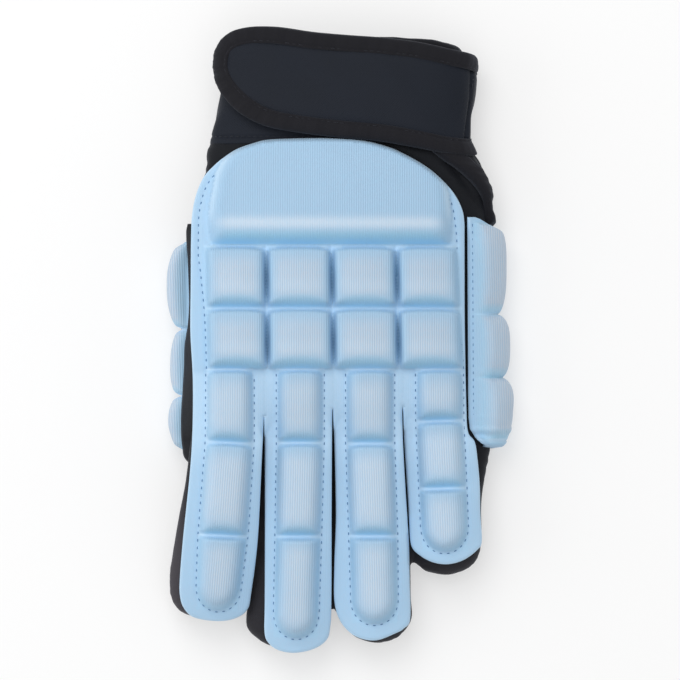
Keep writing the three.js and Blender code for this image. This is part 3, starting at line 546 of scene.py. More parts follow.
def stitchPaths():
    # lines of stitches beside the panel and round each finger's blocks
    paths = [curveThrough([(-45.2, 65.6), (-47.35, 63.8), (-49, 62.1), (-51.5, 57.9), (-52.8, 53.3), (-53.8, 48.1), (-54, 40),
                           (-54, 31.8), (-53.3, 27.2), (-52.6, 20.7), (-52, 14.6), (-51.5, 7.7), (-51.2, 0), (-51, -6), (-50.9, -12)], 0.5),
             curveThrough([(42.7, 53.6), (43.4, 51), (43.9, 48.7), (44.8, 41), (45.1, 35.7), (44.9, 29), (45.4, 15), (46.4, 4),
                           (47.3, -6), (47.7, -12)], 0.5)]
    for number, finger in enumerate(fingerBlocks):
        down = np.arange(-12, finger["end"] + 8.5, -1.0)
        keys = [-v for v in finger["y"]]
        left = np.interp(-down, keys, finger["left"]) - 1.0
        right = np.interp(-down, keys, finger["right"]) + 1.0
        half = (right[-1] - left[-1]) / 2
        arc = np.linspace(math.pi, 2 * math.pi, 15)[1:-1]
        centre = (left[-1] + right[-1]) / 2
        tip = finger["end"] - 1.0
        bow = np.column_stack([centre + half * np.cos(arc), down[-1] + (down[-1] - tip) * np.sin(arc)])
        leftSide = np.column_stack([left, down])
        rightSide = np.column_stack([right, down])[::-1]
        if number == 0:
            rightSide = rightSide[(rightSide[:, 1] < -13)]
        paths.append(curveThrough(np.vstack([leftSide, bow, rightSide]), 0.5))
    return paths


def makeStitches(name, paths, heightAt, pitch, size=(1.25, 0.42, 0.34)):
    # small rounded threads along the paths, joined in one mesh
    ring = [(math.cos(a), math.sin(a)) for a in np.linspace(0, 2 * math.pi, 6, endpoint=False)]
    unit = [(-1, 0, 0)] + [(s, 0.85 * c, 0.85 * w) for s in (-0.55, 0.55) for c, w in ring] + [(1, 0, 0)]
    unitFaces = [(0, 1 + (k + 1) % 6, 1 + k) for k in range(6)]
    unitFaces += [(1 + k, 1 + (k + 1) % 6, 7 + (k + 1) % 6, 7 + k) for k in range(6)]
    unitFaces += [(13, 7 + k, 7 + (k + 1) % 6) for k in range(6)]
    points, faces = [], []
    for path in paths:
        line = curveThrough(path, pitch)
        for i in range(len(line) - 1):
            a, b = line[i], line[i + 1]
            here = (a + b) / 2
            along = (b - a) / max(np.linalg.norm(b - a), 1e-6)
            side = np.array([-along[1], along[0]])
            z = heightAt(here[0], here[1])
            start = len(points)
            for u, v, w in unit:
                spot = here + along * u * size[0] / 2 + side * v * size[1] / 2
                points.append((spot[0], spot[1], z + w * size[2] / 2))
            faces += [tuple(start + k for k in f) for f in unitFaces]
    return newMesh(name, points, faces)


# Finishes
def colour(red, green, blue):
    # a colour picked as 0 to 255, as the shader wants it
    return tuple((c / 255 / 12.92 if c < 10.3 else ((c / 255 + 0.055) / 1.055)**2.4) for c in (red, green, blue)) + (1,)


def node(tree, kind, **values):
    made = tree.nodes.new(kind)
    for name, value in values.items():
        if name in made.inputs:
            made.inputs[name].default_value = value
        else:
            setattr(made, name, value)
    return made


def newGroup(name, inputs, outputs):
    group = bpy.data.node_groups.new(name, "ShaderNodeTree")
    for label, kind, value in inputs:
        socket = group.interface.new_socket(label, in_out="INPUT", socket_type=kind)
        if value is not None:
            socket.default_value = value
    for label, kind in outputs:
        group.interface.new_socket(label, in_out="OUTPUT", socket_type=kind)
    return group, group.nodes.new("NodeGroupInput"), group.nodes.new("NodeGroupOutput")


def math2(tree, operation, first, second=None, third=None, clamp=False):
    made = tree.nodes.new("ShaderNodeMath")
    made.operation = operation
    made.use_clamp = clamp
    for i, value in enumerate((first, second, third)):
        if value is None:
            continue
        if isinstance(value, (int, float)):
            made.inputs[i].default_value = value
        else:
            tree.links.new(value, made.inputs[i])
    return made.outputs[0]


def mixColour(tree, factor, first, second, blend="MIX"):
    made = tree.nodes.new("ShaderNodeMix")
    made.data_type = "RGBA"
    made.blend_type = blend
    for socket, value in ((made.inputs["Factor"], factor), (made.inputs[6], first), (made.inputs[7], second)):
        if isinstance(value, (int, float, tuple)):
            socket.default_value = value
        else:
            tree.links.new(value, socket)
    return made.outputs[2]


def makeRibGroup():
    # fine ribs of the foam's covering cloth, from a place across them in millimetres
    group, start, end = newGroup("ribbed_cloth", [("Across", "NodeSocketFloat", 0), ("Pitch", "NodeSocketFloat", 1), ("Worn", "NodeSocketFloat", 0.5)],
                                 [("Height", "NodeSocketFloat"), ("Mask", "NodeSocketFloat")])
    place = group.nodes.new("ShaderNodeTexCoord").outputs["Object"]
    wobble = node(group, "ShaderNodeTexNoise", Scale=260, Detail=2)
    group.links.new(place, wobble.inputs["Vector"])
    moved = math2(group, "MULTIPLY_ADD", wobble.outputs["Fac"], 0.22, start.outputs["Across"])
    turn = math2(group, "MULTIPLY", math2(group, "DIVIDE", moved, start.outputs["Pitch"]), 2 * math.pi)
    wave = math2(group, "MULTIPLY_ADD", math2(group, "SINE", turn), 0.5, 0.5)
    patch = node(group, "ShaderNodeTexNoise", Scale=90, Detail=3)
    group.links.new(place, patch.inputs["Vector"])
    strength = math2(group, "MULTIPLY_ADD", patch.outputs["Fac"], start.outputs["Worn"], 0.6)
    thread = node(group, "ShaderNodeTexNoise", Scale=2600, Detail=2)
    group.links.new(place, thread.inputs["Vector"])
    grain = math2(group, "MULTIPLY", thread.outputs["Fac"], 0.35)
    group.links.new(math2(group, "MULTIPLY_ADD", wave, strength, grain), end.inputs["Height"])
    group.links.new(math2(group, "MULTIPLY", wave, strength, clamp=True), end.inputs["Mask"])
    return group


def makeKnitGroup():
    # fine knit of the black cloths with slow unevenness
    group, start, end = newGroup("fine_knit", [("Pitch", "NodeSocketFloat", 0.7), ("Uneven", "NodeSocketFloat", 0.5)],
                                 [("Height", "NodeSocketFloat"), ("Mask", "NodeSocketFloat")])
    place = group.nodes.new("ShaderNodeTexCoord").outputs["Object"]
    split = group.nodes.new("ShaderNodeSeparateXYZ")
    group.links.new(place, split.inputs[0])
    turns = [math2(group, "MULTIPLY", math2(group, "DIVIDE", split.outputs[k], start.outputs["Pitch"]), 2000 * math.pi) for k in (0, 1)]
    weave = math2(group, "MULTIPLY", math2(group, "SINE", turns[0]), math2(group, "SINE", turns[1]))
    fuzz = node(group, "ShaderNodeTexNoise", Scale=1900, Detail=3)
    slow = node(group, "ShaderNodeTexNoise", Scale=45, Detail=3)
    for texture in (fuzz, slow):
        group.links.new(place, texture.inputs["Vector"])
    rough = math2(group, "MULTIPLY_ADD", weave, 0.22, fuzz.outputs["Fac"])
    group.links.new(rough, end.inputs["Height"])
    group.links.new(math2(group, "MULTIPLY_ADD", slow.outputs["Fac"], start.outputs["Uneven"], math2(group, "MULTIPLY", fuzz.outputs["Fac"], 0.25)), end.inputs["Mask"])
    return group


ribGroup = makeRibGroup()
knitGroup = makeKnitGroup()


def newMaterial(name, roughness, sheen=0, sheenRoughness=0.4, tint=(1, 1, 1, 1)):
    material = bpy.data.materials.new(name)
    material.use_nodes = True
    tree = material.node_tree
    shader = tree.nodes["Principled BSDF"]
    shader.inputs["Roughness"].default_value = roughness
    shader.inputs["Sheen Weight"].default_value = sheen
    shader.inputs["Sheen Roughness"].default_value = sheenRoughness
    shader.inputs["Sheen Tint"].default_value = tint
    shader.inputs["Specular IOR Level"].default_value = 0.22
    return material, tree, shader


def bump(tree, shader, height, strength, distance):
    made = node(tree, "ShaderNodeBump", Strength=strength, Distance=distance)
    tree.links.new(height, made.inputs["Height"])
    tree.links.new(made.outputs[0], shader.inputs["Normal"])


def foamMaterial():
    # colours picked for the flat margin, the paler tops with their painted sheen, the ribs, the painted shade of the
    # lower slopes and of the slots, and the painted highlights of creases and ridges, which also colour the cut foam's
    # paler edge
    look = {"flat": colour(165, 198, 226), "pale_and_sheen": colour(203, 212, 224), "rib": colour(152, 184, 212), "deep": colour(158, 208, 236),
            "groove_shade": colour(66, 112, 154), "highlight_and_cut_edge": colour(194, 222, 245)}
    material, tree, shader = newMaterial("ribbed_foam_cloth", 0.62, 0.12, 0.5, (0.85, 0.92, 1, 1))
    across, ribbed, pale_and_sheen, deep, groove_shade, highlight_and_cut_edge = (node(tree, "ShaderNodeAttribute", attribute_name=name).outputs["Fac"]
                                                for name in ("rib", "ribbed", "pale_and_sheen", "deep", "groove_shade", "highlight_and_cut_edge"))
    place = node(tree, "ShaderNodeTexCoord").outputs["Object"]
    ribs = node(tree, "ShaderNodeGroup", node_tree=ribGroup)
    ribs.inputs["Pitch"].default_value = shield["ribPitch"]
    tree.links.new(across, ribs.inputs["Across"])
    cloud = node(tree, "ShaderNodeTexNoise", Scale=60, Detail=4)
    speck = node(tree, "ShaderNodeTexNoise", Scale=900, Detail=2)
    for texture in (cloud, speck):
        tree.links.new(place, texture.inputs["Vector"])
    uneven = math2(tree, "MULTIPLY_ADD", cloud.outputs["Fac"], 0.5, 0.72)
    top = math2(tree, "MULTIPLY", pale_and_sheen, uneven, clamp=True)
    shown = math2(tree, "MULTIPLY", math2(tree, "MULTIPLY", ribs.outputs["Mask"], ribbed), math2(tree, "MULTIPLY_ADD", top, 0.3, 0.42), clamp=True)
    # paler tops with painted sheen, then the ribs, the painted shade of slopes and slots, the painted highlights, and
    # random specks
    base = mixColour(tree, top, look["flat"], look["pale_and_sheen"])
    base = mixColour(tree, shown, base, look["rib"])
    base = mixColour(tree, math2(tree, "MULTIPLY", deep, 0.9, clamp=True), base, look["deep"])
    base = mixColour(tree, math2(tree, "MULTIPLY", groove_shade, 0.9, clamp=True), base, look["groove_shade"])
    base = mixColour(tree, math2(tree, "MULTIPLY", highlight_and_cut_edge, 0.85, clamp=True), base, look["highlight_and_cut_edge"])
    base = mixColour(tree, math2(tree, "MULTIPLY_ADD", speck.outputs["Fac"], 0.5, -0.18, clamp=True), base, look["deep"])
    tree.links.new(base, shader.inputs["Base Color"])
    tree.links.new(math2(tree, "MULTIPLY_ADD", cloud.outputs["Fac"], 0.2, 0.5), shader.inputs["Roughness"])
    strong = math2(tree, "MULTIPLY_ADD", ribbed, 0.85, 0.15)
    depth = math2(tree, "MULTIPLY_ADD", ribs.outputs["Height"], strong, math2(tree, "MULTIPLY", speck.outputs["Fac"], 0.3))
    bump(tree, shader, depth, 0.5, 0.0003)
    return material


def plainMaterial(name, base, other, roughness, sheen, pitch, strength, uneven=0.5, sheenRoughness=0.4, greyer_tip=None):
    # knitted cloth in two close colours, blended to a greyer colour where a painted vertex mask asks for it
    material, tree, shader = newMaterial(name, roughness, sheen, sheenRoughness, (0.75, 0.82, 1, 1))
    knit = node(tree, "ShaderNodeGroup", node_tree=knitGroup)
    knit.inputs["Pitch"].default_value = pitch
    knit.inputs["Uneven"].default_value = uneven
    cloth = mixColour(tree, knit.outputs["Mask"], base, other)
    if greyer_tip:
        cloth = mixColour(tree, node(tree, "ShaderNodeAttribute", attribute_name="greyer_tip").outputs["Fac"], cloth, greyer_tip)
    tree.links.new(cloth, shader.inputs["Base Color"])
    tree.links.new(math2(tree, "MULTIPLY_ADD", knit.outputs["Mask"], 0.2, roughness - 0.1), shader.inputs["Roughness"])
    bump(tree, shader, knit.outputs["Height"], strength, 0.0002)
    return material


foamCloth = foamMaterial()
cutFoam = plainMaterial("cut_foam", colour(196, 204, 212), colour(150, 170, 190), 0.85, 0, 0.9, 0.5)
stretchCloth = plainMaterial("black_stretch_knit", colour(10, 12, 17), colour(25, 28, 34), 0.75, 0.08, 0.75, 0.5, greyer_tip=colour(66, 63, 68))
neopreneCloth = plainMaterial("black_neoprene_jersey", colour(14, 19, 28), colour(30, 36, 48), 0.7, 0.06, 1.0, 0.7, 0.5)
tapeCloth = plainMaterial("warm_black_tape", colour(15, 15, 19), colour(31, 30, 36), 0.85, 0.10, 0.6, 0.5, 0.5, 0.55)
blueThread = plainMaterial("blue_thread", colour(94, 136, 180), colour(64, 102, 146), 0.7, 0.2, 0.3, 0.3)
blackThread = plainMaterial("black_thread", colour(20, 21, 26), colour(48, 50, 58), 0.6, 0.2, 0.3, 0.3)
hookTape = plainMaterial("hook_tape", colour(14, 14, 15), colour(30, 30, 32), 0.95, 0.1, 1.2, 1.0)
print("finishes ready")


blueShield = makeShield()
finish(blueShield, foamCloth, "ribbed_foam", "back_shield")
blueShield.data.materials.append(cutFoam)
shieldStitches = makeStitches("shield_stitches", stitchPaths(), lambda x, y: float(foamUnder(np.array([x]), np.array([y]))[0]) + 3.12, shield["stitchPitch"])
finish(shieldStitches, blueThread, "ribbed_foam")
# Stretch fabric body: hand, finger tubes and thumb tube in one knitted shell, open at the wrist
body = {
    "voxel": 1.3,
    "wall": 1.8,
    "wristEnd": 75.9,
    # left and right edge along each finger tube
    "tubes": [
        {"y": [-18, -40, -66, -81, -94, -100, -104, -107, -108.2], "left": [-54.5, -57.2, -61.4, -64.3, -65.6, -64.6, -61.8, -56, -51],
         "right": [-28.8, -29.9, -31, -32, -34.5, -37.5, -41, -45, -48]},
        {"y": [-18, -40, -76, -97, -106.5, -111, -115, -118, -119.4], "left": [-28.4, -29.6, -31.6, -34.2, -36.2, -35.6, -31.5, -26, -21],
         "right": [-3.0, -3.0, -3.2, -3.5, -4.0, -5, -7.5, -11.5, -15]},
        {"y": [-18, -40, -66, -86, -100, -108, -112.5, -115.5, -116.8], "left": [-2.1, -2.0, -1.9, -2.1, -2.3, 0.4, 3.6, 7.6, 12],
         "right": [24.6, 25.2, 26.1, 27, 27.6, 27.6, 24.5, 20.5, 16]},
        {"y": [-18, -38, -50, -66, -78, -83, -86.5, -89.4, -90.6], "left": [25, 25.6, 26.2, 26.9, 27, 27.4, 30.3, 34.5, 39],
         "right": [57, 58.3, 56.6, 54.6, 54.8, 54.0, 51.8, 47, 42.6]},
    ],
    # creases of the palm and of the fingers' inner side: both ends, width and depth
    "upper": [((41, 72), (55, 51), 1.6, 0.9), ((36, 73), (50, 60), 1.5, 0.7), ((47, 71), (58, 55), 1.3, 0.6), ((-52, 70), (-57, 52), 1.5, 0.6)],
    "creases": [((-46, 22), (-6, -12), 2.6, 1.1), ((-6, -12), (30, -14), 2.4, 0.8), ((52, -4), (12, -6), 2.6, 1.0),
                ((-30, 62), (-18, 20), 3.2, 1.2), ((-18, 20), (-22, -8), 2.6, 0.8), ((24, 60), (16, 26), 3.0, 0.8),
                ((-34, -49), (-3, -50), 1.8, 0.9), ((-6, -72), (-31, -72), 1.7, 0.8), ((0, -48), (26, -50), 1.8, 0.9),
                ((1, -72), (27, -74), 1.7, 0.8), ((30, -38), (54, -40), 1.8, 0.9), ((29, -60), (54, -60), 1.7, 0.7),
                ((-61, -66), (-36, -68), 1.8, 0.8), ((-44, 68), (-10, 64), 2.2, 0.9), ((-8, 66), (40, 66), 2.4, 0.9)],
    # fine gathers round the fingertips and at the edge of the hand: middle, reach, pitch and depth
    "gathers": [((-52, -101), 18, 3.1, 0.16), ((-17, -114), 18, 2.9, 0.16), ((13, -111), 18, 3.0, 0.16), ((41, -86), 16, 2.8, 0.16),
                ((55, -45), 12, 4.1, 0.15), ((49, 66), 14, 3.6, 0.3), ((-54, 60), 14, 3.8, 0.3)],
}


def closedLoft(rings):
    # rings of points closed round, with both ends capped
    rows, columns = rings.shape[:2]
    points = np.vstack([rings.reshape(-1, 3), rings[0].mean(0)[None], rings[-1].mean(0)[None]])
    faces = gridFaces(rows, columns, closed=True)
    first, base = rows * columns, (rows - 1) * columns
    faces += [(first, (k + 1) % columns, k) for k in range(columns)]
    faces += [(first + 1, base + k, base + (k + 1) % columns) for k in range(columns)]
    return points, faces


def joinLofts(lofts):
    points, faces = [], []
    for some, sides in lofts:
        start = sum(len(p) for p in points)
        points.append(some)
        faces += [tuple(start + k for k in side) for side in sides]
    return np.vstack(points), faces


def readPoints(piece):
    # the mesh's points in millimetres of the tables, and their normals
    flat = np.zeros(len(piece.data.vertices) * 3)
    piece.data.vertices.foreach_get("co", flat)
    normal = np.zeros_like(flat)
    piece.data.vertices.foreach_get("normal", normal)
    return flat.reshape(-1, 3) / mm - np.array([placeX, placeY, 0]), normal.reshape(-1, 3)


def writePoints(piece, points):
    piece.data.vertices.foreach_set("co", ((points + np.array([placeX, placeY, 0])) * mm).ravel())
    piece.data.update()


def distanceTo(x, y, first, last):
    # distance to a straight line between two places, and how far along it
    dx, dy = last[0] - first[0], last[1] - first[1]
    along = np.clip(((x - first[0]) * dx + (y - first[1]) * dy) / (dx * dx + dy * dy), 0, 1)
    return np.hypot(x - first[0] - along * dx, y - first[1] - along * dy), along


def makeBody():
    turn = np.linspace(0, 2 * math.pi, 72, endpoint=False)
    lofts = [closedLoft(np.stack([handPoint(y, turn, 0, 0) for y in np.linspace(-38.3, 80, 42)]))]
    for finger, tube in zip(fingers, body["tubes"]):
        stations = np.concatenate([np.linspace(-18, tube["y"][-1] + 14, 24), np.linspace(tube["y"][-1] + 13, tube["y"][-1], 18)])
        rings = []
        for y in stations:
            left, right = (readSmooth(tube, side, "y", y) for side in ("left", "right"))
            share = np.clip((y - fingerStart) / (finger["end"] - fingerStart), 0, 1)
            taper = np.interp(share, fingerTaper["along"], fingerTaper["full"])
            ux, uz = squareRound(turn, 2.3)
            z = bend(finger["high"], share) + uz * (0.12 + 0.88 * taper) * fingerDeep
            rings.append(np.stack([(left + right) / 2 + ux * (right - left) / 2, y + 0 * ux, np.maximum(z, 0)], -1))
        lofts.append(closedLoft(np.stack(rings)))
    lofts.append(closedLoft(np.stack([thumbPoint(y, turn, 0, 0) for y in np.linspace(52, -48.5, 46)])))
    piece = newMesh("glove_body", *joinLofts(lofts))
    recalculate(piece)
    modify(piece, "REMESH", mode="VOXEL", voxel_size=body["voxel"] * 1 * mm)
    modify(piece, "SMOOTH", factor=0.5, iterations=6)
    points, normal = readPoints(piece)
    x, y = points[:, 0], points[:, 1]
    under = smoothStep(-normal[:, 2], 0.1, 0.6)
    depth = np.zeros(len(points))
    for first, last, width, deep in body["creases"]:
        away, along = distanceTo(x, y, first, last)
        fade = np.sqrt(np.clip(np.sin(math.pi * np.clip(along * 0.9 + 0.05, 0, 1)), 0, 1))
        line = np.exp(-(away / width)**2) - 0.4 * np.exp(-((away - 1.9 * width) / width)**2)
        depth -= deep * line * fade * under
    for first, last, width, deep in body["upper"]:
        away, along = distanceTo(x, y, first, last)
        depth -= deep * (np.exp(-(away / width)**2) - 0.5 * np.exp(-((away - 2 * width) / width)**2)) * np.sin(math.pi * (along * 0.9 + 0.05)) * (1 - under)
    for (px, py), reach, pitch, deep in body["gathers"]:
        away = np.hypot(x - px, y - py)
        fade = np.exp(-(away / reach * 1.4)**2)
        phase = (y + 0.25 * x + 1.3 * np.sin(x / 5 + points[:, 2] / 3)) / pitch * 2 * math.pi
        depth += deep * fade * np.sin(phase) * (0.6 + 0.4 * np.sin(x / 4 + y / 7))
    depth += 0.6 * smoothStep(y, 67.5, 71.0) - 0.7 * smoothStep(y, 72.5, 75.2)
    slow = np.sin(x / 9 + 1.3 * np.sin(y / 11)) * np.sin(y / 8 + 0.8 * np.sin(x / 13 + points[:, 2] / 6))
    points = points + normal * (depth + 0.28 * slow)[:, None]
    x, y = points[:, 0], points[:, 1]
    outline = np.vstack([curveThrough(shield[name], 1.5)[:-1] for name in ("around", "ring", "middle")])
    flat = points[:, :2]
    reach = nearest(flat, outline)
    inside = insideOutline(flat, outline)
    limit = foamUnder(x, y) - 0.1 - 0.4 * inside
    covered = (inside | (reach < 1.2)) & (points[:, 2] > 8)
    points[:, 2] = np.where(covered, np.minimum(points[:, 2], limit), points[:, 2])
    points[:, 2] = np.maximum(points[:, 2], 0.02)
    writePoints(piece, points)
    select(piece)
    bpy.ops.object.mode_set(mode="EDIT")
    bpy.ops.mesh.select_all(action="SELECT")
    bpy.ops.mesh.bisect(plane_co=(0, (body["wristEnd"] + placeY) * mm, 0), plane_no=(0, 1, 0), clear_outer=True)
    bpy.ops.object.mode_set(mode="OBJECT")
    modify(piece, "SOLIDIFY", thickness=body["wall"] * mm, offset=-1)
    piece.data.polygons.foreach_set("use_smooth", [True] * len(piece.data.polygons))
    x, y = readPoints(piece)[0][:, :2].T
    # greyer towards the fingertips, most along the index finger's outer side
    paint(piece, "greyer_tip", smoothStep(-y, 40, 90) * (0.35 + 0.65 * smoothStep(-x, 48, 60)))
    print("body", len(piece.data.polygons), "faces")
    return piece


gloveBody = makeBody()
finish(gloveBody, stretchCloth, "stretch_fabric", "hand_back", "hand_palm", "index_tube", "middle_tube", "ring_tube", "little_tube")


# Foam pads on the little finger side and on the thumb, each of three bubbles with a flat margin
sidePad = {
    "sheet": 3.0, "slant": 1.5, "margin": 3.0, "start": 35,
    # plan view of its inner edge, angles where it ends under the hand, and the creases between its bubbles
    "y": [47.2, 45.4, 43.4, 41.6, 39.8, 36, 20, 0, -20, -30, -34.1, -37.7, -40.0, -41.3, -41.8],
    "inner": [49.1, 49.1, 49.1, 49.15, 49.2, 49.2, 49.3, 49.4, 49.5, 49.7, 50.2, 52.4, 55.0, 57.7, 59.3],
    "to": [38, 31, 20, 2, -16, -34, -36, -36, -36, -35, -32, -27, -22, -17, -12],
    "creases": [47.2, 9.8, -14.7, -38.2], "rise": [4.6, 6.0, 8.0], "floor": [0, 0.2, 0.4, 0], "round": 3.0,
    "flare": {"y": [-28, -33, -36.4, -37.5, -38.2, -39.3, -40.4, -41.2, -41.8], "out": [0, 0.6, 3.2, 5.4, 8.0, 8.4, 7.7, 6.6, 4.6]},
}
thumbPad = {
    "sheet": 2.3, "slant": -1.5, "margin": 2.2, "creases": [38.4, 4.3, -21.6, -43.4], "rise": [5.5, 3.4, 3.8], "floor": [0, 0, 0, 0], "round": 2.4,
    "flare": {"y": [0, 1], "out": [0, 0]},
    "y": [38.4, 36.0, 30.7, 20.4, 8.2, 4.3, 0.5, -9.1, -18.2, -21.6, -25.2, -32.4, -39.6, -43.4],
    "from": [136, 134, 134, 134, 134, 134, 134, 134, 134, 134, 134, 135, 138, 150],
    "to": [170, 200, 205, 205, 205, 205, 205, 205, 205, 205, 205, 203, 195, 180],
}


def padLift(pad, y):
    # bubbles along the pad: round crowns between narrow creases, and how far down each bubble's lower slope a place lies
    rise, lower = np.zeros_like(y), np.zeros_like(y)
    lows = pad["creases"]
    for i, (top, low) in enumerate(zip(lows, lows[1:])):
        inside = (y <= top) & (y >= low)
        share = np.clip((y - low) / (top - low), 0, 1)
        form = (1 - np.abs(2 * share - 1)**pad["round"])**0.6
        foot = pad["floor"][i + 1] + (pad["floor"][i] - pad["floor"][i + 1]) * share
        rise = np.where(inside, pad["rise"][i] * (foot + (1 - foot) * form), rise)
        lower = np.where(inside, np.clip(1 - (y - low) / 4.4, 0, 1)**0.7, lower)
    return rise, lower


def makePad(name, pad, point):
    pitch = 0.62 * 1
    rows = int((pad["y"][0] - pad["y"][-1]) / pitch)
    columns = 46
    y = np.linspace(pad["y"][0], pad["y"][-1], rows + 1)
    keys = [-v for v in pad["y"]]
    stop = np.interp(-y, keys, pad["to"])
    share = np.linspace(0, 1, columns + 1)
    if "inner" in pad:
        # the upper edge stands over a straight line beside the shield
        tries = np.arange(60.0, -20.0, -0.5)
        line = np.interp(-y, keys, pad["inner"])
        away = np.interp(-y, [-v for v in pad["flare"]["y"]], pad["flare"]["out"])
        start = np.array([np.interp(edge, point(np.full(len(tries), at), np.radians(tries), pad["sheet"] - 0.5 + more)[:, 0], tries)
                          for at, edge, more in zip(y, line, away)])
    else:
        start = np.interp(-y, keys, pad["from"])
    foot = np.minimum(start, pad["start"]) if "start" in pad else start
    u, yy = np.meshgrid(share, y)
    angle = np.radians(start[:, None] + (stop - start)[:, None] * u)
    base = point(yy, angle, 0.3)
    arc = np.concatenate([np.zeros((rows + 1, 1)), np.cumsum(np.linalg.norm(np.diff(base, axis=1), axis=2), axis=1)], 1)
    wide = arc[:, -1:]
    edge = np.minimum(np.minimum(arc, wide - arc), np.minimum(pad["y"][0] - yy, yy - pad["y"][-1]))
    across = np.clip((edge - pad["margin"] * 0.6) / 2.6, 0, 1)
    lift = (1 - (1 - across)**2.4)
    crown = 0.86 + 0.14 * np.sin(math.pi * arc / np.maximum(wide, 1))
    bubble, lower = padLift(pad, yy)
    rise = lift * crown * bubble
    bubble = bubble / max(pad["rise"])
    standOff = np.interp(-yy, [-v for v in pad["flare"]["y"]], pad["flare"]["out"])
    sheet = pad["sheet"] * (0.2 + 0.8 * smoothStep(bubble, 0, 0.35)) if pad["floor"][1] == 0 else pad["sheet"]
    turned = np.clip(1 - edge / 1.1, 0, 1)
    corner = 0.9 * (1 - np.sqrt(1 - turned**2))
    top = point(yy, angle, 0.3 + sheet + rise - corner + standOff, 0.35)
    low = point(yy, np.radians(foot[:, None] + (stop - foot)[:, None] * u), 0.3 + standOff * 0.9, 0.3)
    count = (rows + 1) * (columns + 1)
    faces = gridFaces(rows + 1, columns + 1)
    topCount = len(faces)
    faces += [tuple(k + count for k in face[::-1]) for face in gridFaces(rows + 1, columns + 1)]
    border = list(range(columns + 1)) + [r * (columns + 1) + columns for r in range(1, rows + 1)]
    border += [rows * (columns + 1) + c for c in range(columns - 1, -1, -1)] + [r * (columns + 1) for r in range(rows - 1, 0, -1)]
    for i, a in enumerate(border):
        b = border[(i + 1) % len(border)]
        faces.append((b, a, a + count, b + count))
    piece = newMesh(name, np.vstack([top.reshape(-1, 3), low.reshape(-1, 3)]), faces)
    select(piece)
    bpy.ops.object.mode_set(mode="EDIT")
    bpy.ops.mesh.select_all(action="SELECT")
    bpy.ops.mesh.normals_make_consistent(inside=False)
    bpy.ops.object.mode_set(mode="OBJECT")
    slant = math.radians(pad["slant"])
    upright = smoothStep(np.abs(np.sin(angle)), 0.1, 0.45)[:, 1:]
    seen = np.diff(top[..., 0], axis=1)
    pace = upright * np.abs(seen) + (1 - upright) * np.diff(arc, axis=1)
    begin = np.sign(np.mean(seen)) * top[:, :1, 0]
    rib = np.concatenate([begin, begin + np.cumsum(pace, axis=1)], 1) * math.cos(slant) + yy * math.sin(slant)
    paint(piece, "rib", np.concatenate([rib.ravel(), np.zeros(count)]))
    # paint of the pad: paler tops with painted sheen, painted shade on each bubble's lower slope and along the foot of
    # its edge, painted highlight in the creases between bubbles, and the cut foam's paler edge
    rim = np.exp(-((edge - pad["margin"] * 0.6 - 0.5) / 0.7)**2)
    raised = smoothStep(lift, 0.0, 0.5)
    looks = {"ribbed": raised * smoothStep(bubble, 0.05, 0.3), "pale_and_sheen": raised * smoothStep(bubble, 0.05, 0.5) * np.sin(math.pi * arc / np.maximum(wide, 1))**0.5, "deep": np.maximum(lift * lower, 0.5 * rim), "groove_shade": 0 * lift,
             "highlight_and_cut_edge": np.maximum(0.8 * smoothStep(-edge, -0.75, -0.25), lift * smoothStep(-bubble, -0.4, -0.1))}
    for label, values in looks.items():
        paint(piece, label, np.concatenate([values.ravel(), np.zeros(count)]))
    print(name, len(piece.data.polygons), "faces")
    return piece


def threadsOn(name, lines, pitch, size=(1.25, 0.42, 0.34)):
    # small rounded threads along lines of points in space, joined in one mesh; each line has points and outward normals
    ring = [(math.cos(a), math.sin(a)) for a in np.linspace(0, 2 * math.pi, 6, endpoint=False)]
    unit = np.array([(-1, 0, 0)] + [(s, 0.85 * c, 0.85 * w) for s in (-0.55, 0.55) for c, w in ring] + [(1, 0, 0)])
    unitFaces = [(0, 1 + (k + 1) % 6, 1 + k) for k in range(6)]
    unitFaces += [(1 + k, 1 + (k + 1) % 6, 7 + (k + 1) % 6, 7 + k) for k in range(6)]
    unitFaces += [(13, 7 + k, 7 + (k + 1) % 6) for k in range(6)]
    points, faces = [], []
    for line, outward in lines:
        both = curveThrough(np.hstack([line, outward]), 0.2)
        travelled = np.concatenate([[0], np.cumsum(np.linalg.norm(np.diff(both[:, :3], axis=0), axis=1))])
        for i in range(int(travelled[-1] / pitch)):
            here = np.array([np.interp((i + 0.5) * pitch, travelled, both[:, k]) for k in range(6)])
            ahead = np.array([np.interp((i + 0.7) * pitch, travelled, both[:, k]) for k in range(3)])
            along = (ahead - here[:3]) / max(np.linalg.norm(ahead - here[:3]), 1e-6)
            up = here[3:] / np.linalg.norm(here[3:])
            side = np.cross(up, along)
            start = len(points)
            for p, q, r in unit * np.array(size) / 2:
                points.append(here[:3] + along * p + side * q + up * r)
            faces += [tuple(start + k for k in f) for f in unitFaces]
    return newMesh(name, points, faces)


